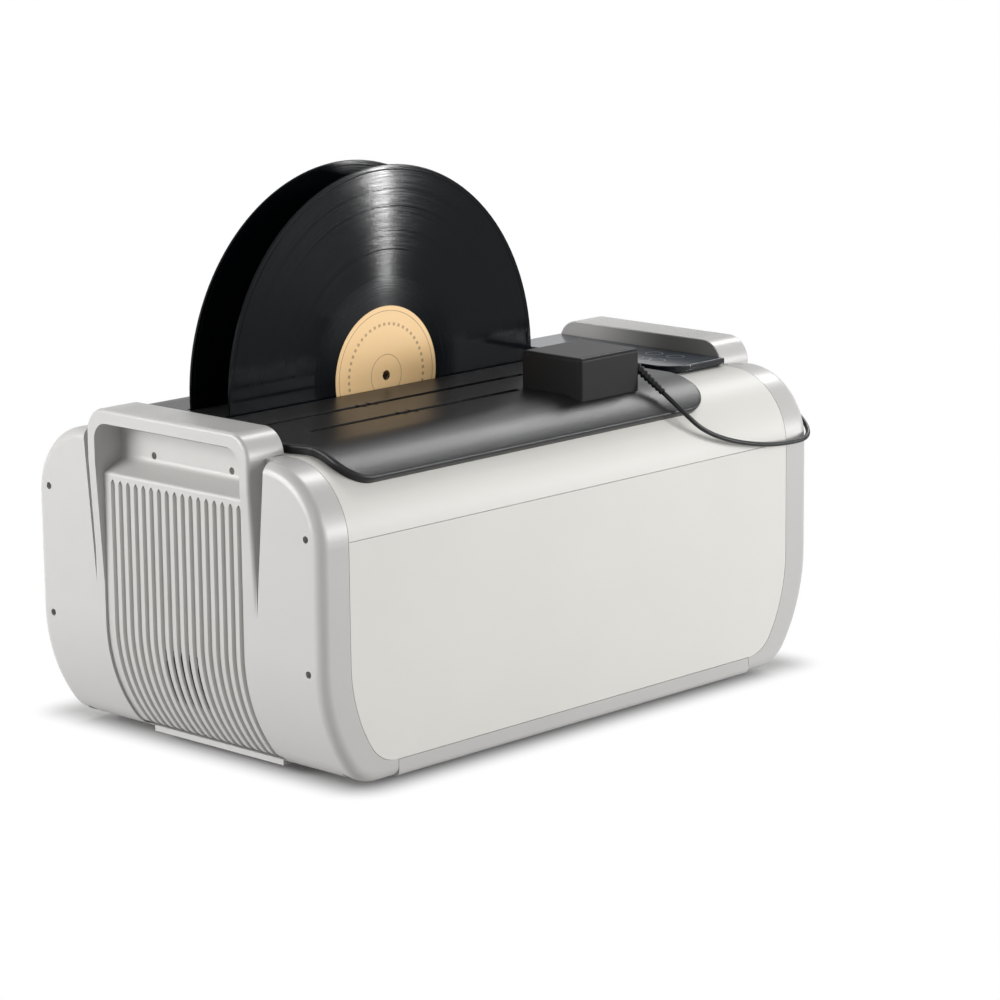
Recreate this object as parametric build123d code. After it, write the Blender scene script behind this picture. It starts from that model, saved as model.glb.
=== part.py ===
from build123d import *
import math
import os

# Ultrasonic record cleaning machine, in millimetres.
# Origin: on the floor under the middle of the body.  +X is the long axis, the front faces -Y, +Z is up.

# ---- body ------------------------------------------------------------------------------
end_half = 249.0             # half length at the end faces
half_depth = 144.0           # half depth, front to back
deck_height = 225.0          # flat top of the off-white cover
shoulder_radius = 52.0       # round from the deck into the front and back
cap_length = 26.1            # end face to the seam with the off-white panels
seam_lift = 1.8              # joint of cover and panels above the start of the round shoulders
seam_gap = 0.4               # shadow gap between neighbouring mouldings
base_height = 7.0            # underside of the casing, on its feet
strip_rise = 12.5            # height of the base strip under the front and rear panels
strip_inset = 41.9           # ends of the base strip inside the seams
skin = 3.0                   # wall of covers and panels
clear = 30.0                 # how far cutting shapes run past the material

seam_half = end_half - cap_length
side_top = deck_height - shoulder_radius
shoulder_y = half_depth - shoulder_radius
seam_height = side_top + seam_lift
strip_height = base_height + strip_rise
strip_half = seam_half - strip_inset

# curved lower corners: one long arc, then a tighter one into the underside
curve_start = 92.0
end_curve_radius = 120.0
end_curve_angle = 36.2
seam_curve_radius = 110.0
seam_curve_angle = 33.0

# ---- end caps --------------------------------------------------------------------------
cap_edge_radius = 7.6
cap_wall = 7.0
cap_floor = 6.0
handle_side = 62.2           # side of the handle frame to the front of the body
handle_rise = 17.6           # top of the handle above the deck
handle_proud = 5.2           # outside of the handle beyond the end face
handle_depth = 33.1          # handle frame, outside to inside
handle_wall = 8.3            # legs of the frame beside the pocket
handle_bar = 10.1            # bar above the pocket
handle_corner = 17.6
handle_edge_radius = 2.6
handle_inner_radius = 0.8
handle_straight_drop = 20.0  # the frame stands fully proud from this far under the deck
handle_flush_drop = 107.0    # and runs flush with the end face this far under it
liner_inset = 1.0            # dark liner inside the outline of the handle's inner face
liner_thickness = 1.0
liner_gap = 0.15
pocket_depth = 19.0          # finger pocket, end face to its back wall
pocket_corner = 12.0
pocket_ledge_drop = 20.5     # ledge at the back wall, under the deck
pocket_ledge_radius = 5.0
field_inset = 2.0            # ribbed field behind the end face
field_top_drop = 28.4        # upper edge of the ribbed field, under the deck
field_edge_radius = 2.6
field_curve_extra = 2.0      # degrees that the field's long arc runs on, to meet its lower edge
field_rise = 5.0             # lower edge of the field above the underside
lip_rise = 4.2               # flat lip under the ribs
lip_side = 7.5               # lip ends this far inside the field
lip_inset = 35.0             # its face behind the end face
lip_depth = 16.0
groove_pitch = 8.0
groove_width = 4.2
groove_depth = 3.0
groove_side = 7.4            # least space between the last groove and the field's edge
groove_top_drop = 4.0        # grooves stop this far under the field's upper edge
vent_width = 2.6
vent_heights = {0: 78.0, 1: 76.0, 2: 71.5}
vent_bottom = 41.0
cleft_width = 9.4            # cleft between the handle frame and the shoulder
cleft_flare = 1.5
cleft_depth = 11.0
cap_screw_side = 13.6        # screws inside the front and rear faces
upper_screw_drop = 45.8
lower_screw_height = 88.4
base_screw_rise = 5.2        # lowest screws, above the underside
base_screw_depth = 40.0      # their seats behind the end face
pocket_screw_side = 34.0     # pocket screws inside the pocket's ends
pocket_screw_drop = 15.4
screw_hole = 5.0
screw_head = 4.8
screw_head_height = 1.8
screw_shank = 3.0
screw_boss = 9.0
screw_sink = 6.0             # seat behind the face, through the thick end wall
pocket_screw_sink = 2.0
screw_reach = 6.0            # thread behind the part that the screw holds to

handle_half = half_depth - handle_side
handle_top = deck_height + handle_rise
handle_outer = end_half + handle_proud
handle_inner = handle_outer - handle_depth
handle_straight = deck_height - handle_straight_drop
handle_flush = deck_height - handle_flush_drop
pocket_half = handle_half - handle_wall
pocket_back = end_half - pocket_depth
pocket_top = handle_top - handle_bar
pocket_ledge = deck_height - pocket_ledge_drop
field_edge = end_half - field_inset
field_top = deck_height - field_top_drop
field_bottom = base_height + field_rise
groove_side_count = int((pocket_half - groove_side) / groove_pitch)
cap_screw_y = half_depth - cap_screw_side
upper_screw_height = deck_height - upper_screw_drop
base_screw_height = base_height + base_screw_rise
pocket_screw_y = pocket_half - pocket_screw_side
pocket_screw_height = deck_height - pocket_screw_drop

# ---- sheet-metal end frames ------------------------------------------------------------
frame_inset = 1.9            # frame behind the seam
frame_thickness = 1.5
frame_bottom = 32.0
frame_flange = 14.0
frame_window_half = 45.0
frame_window_low = 40.0
frame_window_high = 62.0
frame_outer = seam_half - frame_inset
frame_inner = frame_outer - frame_thickness

# ---- tank ------------------------------------------------------------------------------
tank_left_margin = 27.9      # tank to the left seam
tank_right_margin = 84.9     # tank to the right seam
tank_side = 8.0              # tank inside the flat of the deck, front and back
tank_sheet = 1.2
tank_corner = 16.0
tank_flange = 9.0
tank_clearance = 17.2        # floor of the tank below a 12-inch record
seal_thickness = 1.5
seal_inset = 1.0
rim_overlap = 3.0            # how far the cover opening stands outside the tank wall
tank_left = tank_left_margin - seam_half
tank_right = seam_half - tank_right_margin
tank_middle = (tank_left + tank_right) / 2
tank_half = shoulder_y - tank_side
flange_top = deck_height - skin - seal_thickness

# ---- record sizes ----------------------------------------------------------------------
# The tank takes a 12-inch record; the smaller ones are standard steps down from it.
record_left_margin = 16.7    # 12-inch record inside the ends of the tank
record_right_margin = 14.7
ten_step = 25.8              # radius that a 10-inch record has less
seven_step = 63.3
lp_lift = 15.0               # centres above the deck, as they ride on their wheels
ten_lift = 11.0
seven_lift = 6.0
slot_side = 24.0             # outer slots inside the tank's walls
slot_width = 6.0
lp_slot_clearance = 0.7
ten_slot_clearance = 2.0
seven_slot_clearance = 15.0
label_radius = 50.0
label_thickness = 0.2
record_rim = 2.0
record_web = 1.4
record_rim_width = 4.0
record_rim_slope = 1.0
record_edge = 0.5
spindle_hole = 3.62
lp_radius = (tank_right - tank_left - record_left_margin - record_right_margin) / 2
ten_radius = lp_radius - ten_step
seven_radius = lp_radius - seven_step
lp_center = (tank_left + record_left_margin + lp_radius, deck_height + lp_lift)
tank_floor = lp_center[1] - lp_radius - tank_clearance
slot_pitch = (2 * tank_half - 2 * slot_side) / 3
lp_rear, lp_front, ten_slot, seven_slot = [slot_pitch * step for step in (1.5, 0.5, -0.5, -1.5)]

# ---- drain and transducers under the tank ----------------------------------------------
drain_side = 45.0            # drain from the left end of the tank
drain_wall_gap = 12.0        # drain from the rear wall of the tank
drain_pipe_radius = 6.0
drain_pipe_wall = 1.5
drain_drop = 12.0            # axis of the pipe under the tank's floor
drain_bend = 8.0
drain_valve_radius = 8.5
drain_valve_inset = 19.0     # end of the valve body inside the rear face
drain_valve_end = 5.0
drain_spigot_radius = 5.5
drain_spigot_inset = 1.5
drain_stem_radius = 3.0
drain_stem_rise = 12.0
drain_lever_length = 22.0
drain_lever_height = 5.0
drain_lever_radius = 5.5
drain_lever_lift = 9.5       # underside of the lever's hub above the pipe's axis
recess_depth = 31.0
recess_side = 34.0           # recess to each side of the drain
recess_below = 13.0
recess_above = 36.0
transducer_end = 78.5        # middle of the outer transducers from the tank's ends
transducer_side = 40.0
transducer_radius = 20.0
transducer_ring = 6.0
transducer_neck = 14.0
transducer_neck_drop = 15.0
transducer_length = 28.0
drain_x = tank_left + drain_side
drain_y = tank_half - drain_wall_gap
drain_height = tank_floor - drain_drop
drain_valve_y = half_depth - drain_valve_inset
recess_floor = half_depth - recess_depth
stem_y = (recess_floor + skin + drain_valve_y + drain_valve_end) / 2
transducer_sites = [(x, y) for x in (tank_left + transducer_end, tank_middle, tank_right - transducer_end)
                    for y in (transducer_side - tank_half, tank_half - transducer_side)]

# ---- lid -------------------------------------------------------------------------------
lid_left_margin = 10.9       # lid to the left seam
lid_left_flare = 5.0         # the left edge widens beside the handle
lid_flare_start = 15.2       # from this far outside the handle
lid_flare_end = 1.8          # to this far inside it
lid_flare_radius = 14.0
lid_tank_reach = 13.0        # lid beyond the right end of the tank
lid_lip_angle = 48.5         # where the lid stops on the round shoulders
lid_rise = 6.5               # lid surface above the cover
lid_wall = 3.2
lid_rim = 3.0
lid_corner = 23.5
lid_edge_radius = 2.2
lid_rest = 0.3               # clearance between the lid rim and the cover
skirt_depth = 11.0           # skirt below the deck
skirt_wall = 2.5
skirt_gap = 0.8
housing_ledge = 3.5          # lid left standing inside the motor housing's walls
lid_left = lid_left_margin - seam_half
lid_right = tank_right + lid_tank_reach
lid_under = deck_height + lid_rise - lid_wall

# ---- wheels and gears ------------------------------------------------------------------
wheel_groove = 10.0          # radius on which a record rides
wheel_flange = 12.5
wheel_width = 8.0
groove_floor = 3.0
groove_mouth = 5.6
running_gap = 0.3
shaft_radius = 3.0
bore_clearance = 0.05
gear_module = 2.0
gear_teeth = 24
seven_teeth = 28
middle_teeth = 36
pinion_teeth = 10
gear_width = 6.0
gear_gap = 1.5               # gears to the front hanger plate
gear_addendum = 0.9
gear_dedendum = 1.25
backlash = 0.5
pressure_angle = 20.0
lp_drive_drop = 97.3         # shaft under the 12-inch records, below the deck
ten_bearing = 164.7          # directions between shafts that share a mesh, anticlockwise from +X
seven_bearing = 152.6
middle_bearing = 68.1
pinion_bearing = 88.8
lp_idler_angle = 52.0        # idlers below the horizontal, seen from the records' centres
ten_idler_angle = 50.0
seven_idler_angle = 45.0
motor_shaft_radius = 1.5
motor_radius = 12.2
motor_length = 28.0
motor_nose = 4.0
motor_shaft_reach = 4.0
stub_bore = 1.5

# ---- hanger plates under the lid -------------------------------------------------------
hanger_sheet = 2.0
hanger_gap = 7.0             # outer plates inside the tank's walls
hanger_left_gap = 11.0
hanger_right_gap = 20.0
hanger_foot = 16.0           # plates below the lowest shaft
hanger_taper = 20.0
hanger_chamfer = 14.0
hanger_shoulder_drop = 45.0
hanger_neck_drop = 13.0
hanger_flange = 11.0
tongue_half = 17.0           # motor tongue of the front plate
tongue_rise = 29.0
tongue_drop = 20.0
tongue_side = 2.0
window_corner = 8.0
window_top_drop = 19.0
window_rise = 25.0           # windows above the foot of the plates
window_side = 16.0           # and beside the shafts next to them
tie_reach = 9.3              # tie rods outside the 12-inch record
tie_angle = 30.8
rear_tie_reach = 12.5
rear_tie_angle = 24.6
low_tie_reach = 34.2
low_tie_angle = 46.4
tie_radius = 3.0
tie_hole = 1.6
bush_radius = 5.5
bush_length = 3.0
stub_gap = 1.5               # free end of the short shafts past their wheel
hanger_left = tank_left + hanger_left_gap
hanger_right = tank_right - hanger_right_gap
hanger_front = hanger_gap - tank_half
hanger_middle = -hanger_sheet / 2
hanger_back = tank_half - hanger_gap - hanger_sheet
gear_plane = hanger_front + hanger_sheet + gear_gap + gear_width / 2

# ---- motor housing on the lid ----------------------------------------------------------
box_length = 62.5
box_front_margin = 31.0      # housing behind the front of the body
box_depth = 57.5
box_rise = 33.5              # top above the deck
box_wall = 2.5
box_radius = 3.0
box_front = box_front_margin - half_depth
box_back = box_front + box_depth
box_top = deck_height + box_rise

# ---- control panel ---------------------------------------------------------------------
panel_lid_gap = 12.0
panel_end_gap = 2.3          # right edge inside the seam
panel_front_side = 6.0       # ends inside the flat of the deck
panel_back_side = 11.0
panel_rise = 6.4             # glossy top above the deck
plinth_rise = 2.0
plinth_inset = 3.0
panel_corner = 20.0
panel_edge_radius = 0.8
panel_wall = 1.5
panel_end_room = 17.0        # hollow inside the panel's front and back ends
panel_side_room = 12.0       # and inside its long edges
board_thickness = 1.6
board_gap = 1.0
panel_left = lid_right + panel_lid_gap
panel_right = seam_half - panel_end_gap
panel_front = panel_front_side - shoulder_y
panel_back = shoulder_y - panel_back_side
panel_top = deck_height + panel_rise
panel_under = panel_top - panel_wall

# ---- mains inlet, switch, fan, generator board ------------------------------------------
inlet_end = 72.9             # inlet from the right seam
switch_pitch = 46.0
socket_height = 52.0
inlet_size = (32.0, 24.0)
inlet_depth = 26.0
inlet_shrink = 2.0
well_size = (24.5, 17.0)
well_corner = 4.5
well_depth = 18.0
pin_pitch = 7.0
pin_stagger = 2.0
pin_size = (2.0, 4.0)
pin_length = 15.0
switch_size = (15.0, 21.0)
switch_depth = 16.0
switch_floor = 2.0
rocker_size = (11.0, 17.0)
rocker_pivot_inset = 10.0
rocker_tilt = 6.0
rocker_end_gap = 0.7
rocker_foot = 2.0
rocker_foot_half = 3.0
rocker_cheek = 4.5
rocker_proud = 1.4           # rocker ends below the panel's face
rocker_dish = 1.2
fit_gap = 0.2                # all round parts set into a cut-out
fan_size = 60.0
fan_depth = 15.0
fan_corner = 4.0
fan_height = 62.0            # fan centre
fan_bore = 28.0
fan_hub = 12.0
fan_spider = 2.0
fan_blades = 5
blade_thickness = 1.2
blade_chord = 12.0
blade_pitch = 38.0
blade_gap = 1.2
rotor_length = 9.6
rotor_gap = 0.4
board_stand = 10.0           # board inside the end frame
board_side = 26.0
board_low = 74.0
board_high = 176.0
post_radius = 3.0
post_inset = 8.0
transformer_size = (30.0, 40.0, 36.0)
sink_fin = 1.6
sink_base = 6.0
sink_height = 28.0
sink_fins = 6
can_radius = 8.0
can_height = 26.0
inlet_center = (seam_half - inlet_end, socket_height)
switch_center = (seam_half - inlet_end - switch_pitch, socket_height)
rocker_pivot_y = half_depth - rocker_pivot_inset
board_x = frame_inner - board_stand
board_half = shoulder_y - board_side

# ---- base pan and feet ------------------------------------------------------------------
foot_end = 31.0              # feet inside the ends of the base strip
foot_side = 32.0             # and inside the front and rear faces
foot_radius = 11.0
foot_hollow = 5.0
foot_bore = 2.0
foot_taper = 1.0
foot_boss = 4.0
pan_edge_radius = 4.0
tongue_inset = 12.0          # upstands behind the panels, inside the ends of the pan
tongue_reach = 7.0
lug_half = 5.0               # lugs that take the lowest cap screws
lug_length = 8.0
foot_sites = [(x, y) for x in (foot_end - strip_half, strip_half - foot_end)
              for y in (foot_side - half_depth, half_depth - foot_side)]

# ---- lead from the motor housing to the right end cap -----------------------------------
lead_diameter = 3.5
lead_route = [
    (105.5, -127.0, 226.5), (111.2, -142.0, 212.6), (126.5, -147.6, 197.5), (158.0, -149.8, 185.0),
    (204.0, -150.0, 175.7), (257.0, -150.0, 175.7), (257.0, -115.7, 196.3)]
lead_corner_share = 0.45     # share of the shorter leg that each bend takes
lead_parting = 222.0         # where the lead hangs level and passes from the lid to the body
relief_thick = 4.0
relief_thin = 2.7
relief_root = 6.0            # foot inside the motor housing's wall
relief_length = 34.2         # from the wall to the tip
relief_side = 10.2           # middle of its foot behind the front of the housing
relief_drop = 9.6            # and under its top
plug_neck_radius = 3.0
plug_radius = 5.0
plug_reach = 263.0
barrel_radius = 2.7
barrel_length = 9.0
jack_radius = 6.5
jack_body_radius = 5.5
jack_flange = 0.8
jack_length = 14.0
jack_bore = 11.0
plug_gap = 0.2               # plug in front of the jack's flange
jack_side = 40.3             # jack behind the front of the body
jack_drop = 21.5             # and below the deck
jack_center = (jack_side - half_depth, deck_height - jack_drop)

os.makedirs("parts", exist_ok=True)


# ---- helpers ---------------------------------------------------------------------------
def save(name, *solids):
    """Write one sub-part; several solids share a node as a group."""
    flat = [piece for shape in solids for piece in shape.solids()]
    shape = flat[0] if len(flat) == 1 else Compound(children=flat)
    export_step(shape, f"parts/{name}.step")


def along_x(face, start, end):
    return extrude(Pos(start, 0, 0) * face, amount=end - start, dir=(1, 0, 0))


def along_y(face, start, end):
    return extrude(Pos(0, start, 0) * face, amount=end - start, dir=(0, 1, 0))


def along_z(face, start, end):
    return extrude(Pos(0, 0, start) * face, amount=end - start, dir=(0, 0, 1))


def block(x0, x1, y0, y1, z0, z1):
    return Pos(x0, y0, z0) * Box(x1 - x0, y1 - y0, z1 - z0, align=(Align.MIN,) * 3)


def rod_y(center, radius, start, end):
    return along_y(Plane.XZ * Pos(*center) * Circle(radius), start, end)


def rod_x(y, z, radius, start, end):
    return along_x(Plane.YZ * Pos(y, z) * Circle(radius), start, end)


def rod_z(x, y, radius, start, end):
    return along_z(Pos(x, y) * Circle(radius), start, end)


def polygon_xz(*points):
    return Plane.XZ * make_face(Polyline(*points, close=True))


def polygon_yz(*points):
    return Plane.YZ * make_face(Polyline(*points, close=True))


def rounded_plan(x0, x1, y0, y1, radius):
    shape = RectangleRounded(x1 - x0, y1 - y0, radius)
    return Pos((x0 + x1) / 2, (y0 + y1) / 2) * shape


def body_section(offset=0.0, bottom=base_height):
    """Cross-section of the body (Y, Z), grown outwards by offset."""
    half = half_depth + offset
    top = deck_height + offset
    radius = shoulder_radius + offset
    outline = Polyline((-half, side_top), (-half, bottom), (half, bottom), (half, side_top))
    outline += CenterArc((shoulder_y, side_top), radius, 0, 90)
    outline += Line((shoulder_y, top), (-shoulder_y, top))
    outline += CenterArc((-shoulder_y, side_top), radius, 90, 90)
    return Plane.YZ * make_face(outline)


def corner_curve(edge, radius, angle, bottom):
    """Two tangent arcs from a vertical edge down and round into a level bottom."""
    upper = JernArc((edge, curve_start), (0, -1), radius, -angle)
    drop = (upper @ 1).Y - bottom
    foot = drop / (1 - math.sin(math.radians(angle)))
    lower = JernArc(upper @ 1, upper % 1, foot, angle - 90)
    return upper, lower


def step(center, reach, bearing):
    """Point at a distance and a direction, anticlockwise from +X."""
    turn = math.radians(bearing)
    return center[0] + reach * math.cos(turn), center[1] + reach * math.sin(turn)


def beside(shaft, reach, height, side):
    """Point at a height whose distance from a shaft is the reach, on the chosen side of it."""
    return shaft[0] + side * math.sqrt(reach ** 2 - (height - shaft[1]) ** 2), height


# ---- places of the shafts and records, in X and Z ---------------------------------------
ride = wheel_groove + running_gap
lp_drive = beside(lp_center, lp_radius + ride, deck_height - lp_drive_drop, 1)
ten_drive = step(lp_drive, gear_module * gear_teeth, ten_bearing)
seven_drive = step(ten_drive, gear_module * (gear_teeth + seven_teeth) / 2, seven_bearing)
middle_gear = step(ten_drive, gear_module * (gear_teeth + middle_teeth) / 2, middle_bearing)
pinion_center = step(middle_gear, gear_module * (middle_teeth + pinion_teeth) / 2, pinion_bearing)
ten_center = beside(ten_drive, ten_radius + ride, deck_height + ten_lift, -1)
seven_center = beside(seven_drive, seven_radius + ride, deck_height + seven_lift, -1)
lp_idler = step(lp_center, lp_radius + ride, 180 + lp_idler_angle)
ten_idler = step(ten_center, ten_radius + ride, 180 + ten_idler_angle)
seven_idler = step(seven_center, seven_radius + ride, 180 + seven_idler_angle)
tie_sites = [step(lp_center, lp_radius + tie_reach, -tie_angle),
             step(lp_center, lp_radius + rear_tie_reach, 180 + rear_tie_angle),
             step(lp_center, lp_radius + low_tie_reach, 180 + low_tie_angle)]
slots = [(lp_rear, lp_center[0], lp_radius + lp_slot_clearance),
         (lp_front, lp_center[0], lp_radius + lp_slot_clearance),
         (ten_slot, ten_center[0], ten_radius + ten_slot_clearance),
         (seven_slot, seven_center[0], seven_radius + seven_slot_clearance)]
hanger_bottom = lp_idler[1] - hanger_foot
box_left = pinion_center[0] - box_length / 2
box_right = pinion_center[0] + box_length / 2
wheel_end = wheel_width / 2 + stub_gap
front_end = hanger_front - bush_length
back_end = hanger_back + hanger_sheet + bush_length
shafts = {
    "lp_drive_shaft": (lp_drive, front_end, back_end),
    "ten_drive_shaft": (ten_drive, front_end, hanger_middle + hanger_sheet + bush_length),
    "seven_drive_shaft": (seven_drive, front_end, seven_slot + wheel_end),
    "lp_idler_shaft": (lp_idler, hanger_middle - bush_length, back_end),
    "ten_idler_shaft": (ten_idler, front_end, hanger_middle + hanger_sheet + bush_length),
    "seven_idler_shaft": (seven_idler, front_end, seven_slot + wheel_end),
}


# ---- end caps --------------------------------------------------------------------------
def cap_block():
    inner = seam_half + seam_gap
    upper, lower = corner_curve(end_half, end_curve_radius, end_curve_angle, base_height)
    seam_upper, seam_lower = corner_curve(inner, seam_curve_radius, seam_curve_angle, strip_height)
    outline = Line((inner, deck_height), (end_half, deck_height))
    outline += Line((end_half, deck_height), (end_half, curve_start))
    outline += upper + lower
    outline += Polyline(lower @ 1, (strip_half, base_height), (strip_half, strip_height), seam_lower @ 1)
    outline += seam_lower + seam_upper
    outline += Line((inner, curve_start), (inner, deck_height))
    side = Plane.XZ * make_face(outline)
    solid = along_y(side, -half_depth, half_depth)
    solid &= along_x(body_section(), strip_half - clear, end_half + clear)

    def on_seam(edge):
        middle = edge @ 0.5
        point = Vertex(middle.X, middle.Z, 0)
        return min(seam_upper.distance_to(point), seam_lower.distance_to(point)) < 0.1

    def on_end(edge):
        middle = edge @ 0.5
        flat = abs(middle.X - end_half) < 0.01
        round_down = abs(abs(middle.Y) - half_depth) < 0.01 and middle.X > strip_half + 1
        outside = round_down and middle.Z < curve_start and not on_seam(edge)
        return flat and middle.Z > curve_start or outside

    return fillet([edge for edge in solid.edges() if on_end(edge)], cap_edge_radius)


def handle_outline(inset, low):
    """The handle frame from the end (Y, Z), down to a height and set in at its sides and top."""
    high = handle_top - inset
    face = Plane.YZ * Pos(0, (low + high) / 2) * Rectangle(2 * (handle_half - inset), high - low)
    return fillet(face.vertices().group_by(Axis.Z)[-1], handle_corner - inset)


def handle_block():
    foot = deck_height + seam_gap
    side = polygon_xz(
        (handle_inner, foot), (handle_inner, handle_top), (handle_outer, handle_top),
        (handle_outer, handle_straight), (end_half, handle_flush), (pocket_back, handle_flush),
        (pocket_back, foot))
    solid = along_x(handle_outline(0, handle_flush), handle_inner - clear, handle_outer + clear)
    solid &= along_y(side, -half_depth, half_depth)

    def on_rim(edge):
        middle = edge @ 0.5
        across = abs(middle.Z - handle_straight) < 0.5 and abs(abs(middle.Y) - handle_half) > 0.01
        return middle.X > end_half and middle.Z > handle_flush + 1 and not across

    solid = fillet([edge for edge in solid.edges() if on_rim(edge)], handle_edge_radius)
    inner = [edge for edge in solid.edges()
             if abs((edge @ 0.5).X - handle_inner) < 0.01 and (edge @ 0.5).Z > foot + 1]
    return fillet(inner, handle_inner_radius)


def liner(gap=0.0):
    """Dark liner in the handle's inner face; with a gap, the seat that takes it."""
    low = deck_height + seam_gap + liner_inset - gap
    start = handle_inner - clear if gap else handle_inner
    end = handle_inner + liner_thickness
    plate = along_x(handle_outline(liner_inset - gap, handle_flush), start, end)
    return plate & block(start, end, -half_depth, half_depth, low, handle_top)


def field_curve(inset, top, bottom):
    """The ribbed field's profile from a height down to its lower edge, set in by a depth."""
    edge = field_edge - inset
    angle = end_curve_angle + field_curve_extra
    upper = JernArc((edge, curve_start), (0, -1), end_curve_radius - inset, -angle)
    foot = ((upper @ 1).Y - bottom) / (1 - math.sin(math.radians(angle)))
    lower = JernArc(upper @ 1, upper % 1, foot, angle - 90)
    return Line((edge, top), (edge, curve_start)), upper, lower


def recess_cut():
    """Finger pocket, its rounded ledge and the ribbed field below it."""
    far = handle_outer + clear
    straight, upper, lower = field_curve(0, field_top, field_bottom)
    outline = straight + upper + lower
    outline += Polyline(lower @ 1, (far, field_bottom), (far, pocket_top), (pocket_back, pocket_top),
                        (pocket_back, pocket_ledge), straight @ 0)
    face = make_face(outline)
    ledge = face.vertices().sort_by_distance(Vertex(pocket_back, pocket_ledge, 0))[0]
    face = fillet(ledge, pocket_ledge_radius)
    brow = face.vertices().sort_by_distance(Vertex(field_edge, field_top, 0))[0]
    face = fillet(brow, field_edge_radius)
    height = pocket_top - base_height
    front = Plane.YZ * Pos(0, pocket_top - height / 2) * Rectangle(2 * pocket_half, height)
    front = fillet(front.vertices().group_by(Axis.Z)[-1], pocket_corner)
    return along_y(Plane.XZ * face, -pocket_half, pocket_half) & along_x(front, pocket_back - clear, far)


def groove_cuts():
    """V-shaped grooves between the ribs; the middle ones open into vents."""
    far = end_half + clear
    straight, upper, lower = field_curve(groove_depth, field_top - groove_top_drop, field_bottom)
    outline = straight + upper + lower
    outline += Polyline(lower @ 1, (far, field_bottom), (far, field_top - groove_top_drop), straight @ 0)
    slope = math.degrees(math.atan(2 * groove_depth / groove_width))
    groove = extrude(Plane.XZ * make_face(outline), amount=groove_width / 2, both=True, taper=slope)
    cuts = []
    for index in range(-groove_side_count, groove_side_count + 1):
        y = index * groove_pitch
        cuts.append(Pos(0, y, 0) * groove)
        if abs(index) in vent_heights:
            cuts.append(block(frame_outer, far, y - vent_width / 2, y + vent_width / 2,
                              vent_bottom, vent_heights[abs(index)]))
    return cuts


def cleft_cut(side):
    face = polygon_yz(
        (side * handle_half, handle_flush), (side * handle_half, handle_top),
        (side * (handle_half + cleft_width + cleft_flare), handle_top),
        (side * (handle_half + cleft_width), deck_height - skin))
    floor = end_half - cleft_depth
    depth = polygon_xz(
        (end_half, handle_flush), (floor, deck_height), (floor, handle_top),
        (end_half + clear, handle_top), (end_half + clear, handle_flush))
    return along_x(face, floor - clear, end_half + clear) & along_y(depth, -half_depth, half_depth)


def cap_cavity():
    edge = end_half - cap_wall
    floor = base_height + cap_floor
    start = strip_half - clear
    upper, lower = corner_curve(edge, end_curve_radius - cap_wall, end_curve_angle, floor)
    outline = Line((start, deck_height), (edge, deck_height))
    outline += Line((edge, deck_height), (edge, curve_start))
    outline += upper + lower
    outline += Polyline(lower @ 1, (start, floor), (start, deck_height))
    room = along_y(Plane.XZ * make_face(outline), -half_depth, half_depth)
    room &= along_x(body_section(-skin, floor), start, end_half)
    pocket_side = pocket_half + skin
    room -= block(pocket_back - skin, end_half, -pocket_side, pocket_side, field_top - 3 * skin, deck_height)
    cleft_side = handle_half + cleft_width + cleft_flare + skin
    return room - block(end_half - cleft_depth - skin, end_half, -cleft_side, cleft_side,
                        handle_flush - skin, deck_height)


def cap_screw_sites():
    """Each screw: y, z, the seat of its head and the face of the piece that it holds to."""
    sites = []
    for side in (-1, 1):
        y = side * cap_screw_y
        sites.append((y, lower_screw_height, end_half - screw_sink, frame_outer))
        sites.append((y, upper_screw_height, end_half - screw_sink, frame_outer))
        sites.append((y, base_screw_height, end_half - base_screw_depth, strip_half))
        pocket_seat = pocket_back - pocket_screw_sink
        sites.append((side * pocket_screw_y, pocket_screw_height, pocket_seat, frame_outer))
    return sites


def end_cap():
    envelope = cap_block()
    cap = envelope + handle_block()
    cap -= cap_cavity()
    for y, z, seat, anchor in cap_screw_sites():
        cap += rod_x(y, z, screw_boss / 2, anchor, seat + screw_head_height / 2) & envelope
    cap -= recess_cut()
    lip_half = pocket_half - lip_side
    lip_edge = end_half - lip_inset
    cap += block(lip_edge - lip_depth, lip_edge, -lip_half, lip_half, base_height, base_height + lip_rise)
    for side in (-1, 1):
        cap -= cleft_cut(side)
    cap -= groove_cuts()
    cap -= liner(liner_gap)
    for y, z, seat, anchor in cap_screw_sites():
        cap -= rod_x(y, z, screw_hole / 2, seat, end_half + clear)
        cap -= rod_x(y, z, screw_shank / 2 + bore_clearance, anchor - clear, seat + 1)
    return cap


def cap_screws():
    screws = []
    for y, z, seat, anchor in cap_screw_sites():
        head = rod_x(y, z, screw_head / 2, seat, seat + screw_head_height)
        screws.append(head + rod_x(y, z, screw_shank / 2, anchor - screw_reach, seat))
    return screws


# ---- casing ----------------------------------------------------------------------------
def body_shell(low, high, x0, x1):
    """Ring of the body's section between two heights, one skin thick."""
    ring = along_x(body_section(), x0, x1) - along_x(body_section(-skin, 0), x0, x1)
    return ring & block(x0, x1, -half_depth - 1, half_depth + 1, low, high)


def tank_plan(grow=0.0):
    return rounded_plan(tank_left - grow, tank_right + grow, -tank_half - grow, tank_half + grow,
                        tank_corner + grow)


def panel_room_block(margin, low, high):
    """Room in the middle of the control panel, smaller by a margin all round."""
    side = panel_side_room + margin
    end = panel_end_room + margin
    return block(panel_left + side, panel_right - side, panel_front + end, panel_back - end, low, high)


def top_cover():
    cover = body_shell(seam_height + seam_gap / 2, deck_height + 1, -seam_half, seam_half)
    cover -= along_z(tank_plan(rim_overlap), deck_height - clear, deck_height + clear)
    return cover - panel_room_block(skin, deck_height - clear, deck_height + clear)


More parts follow.
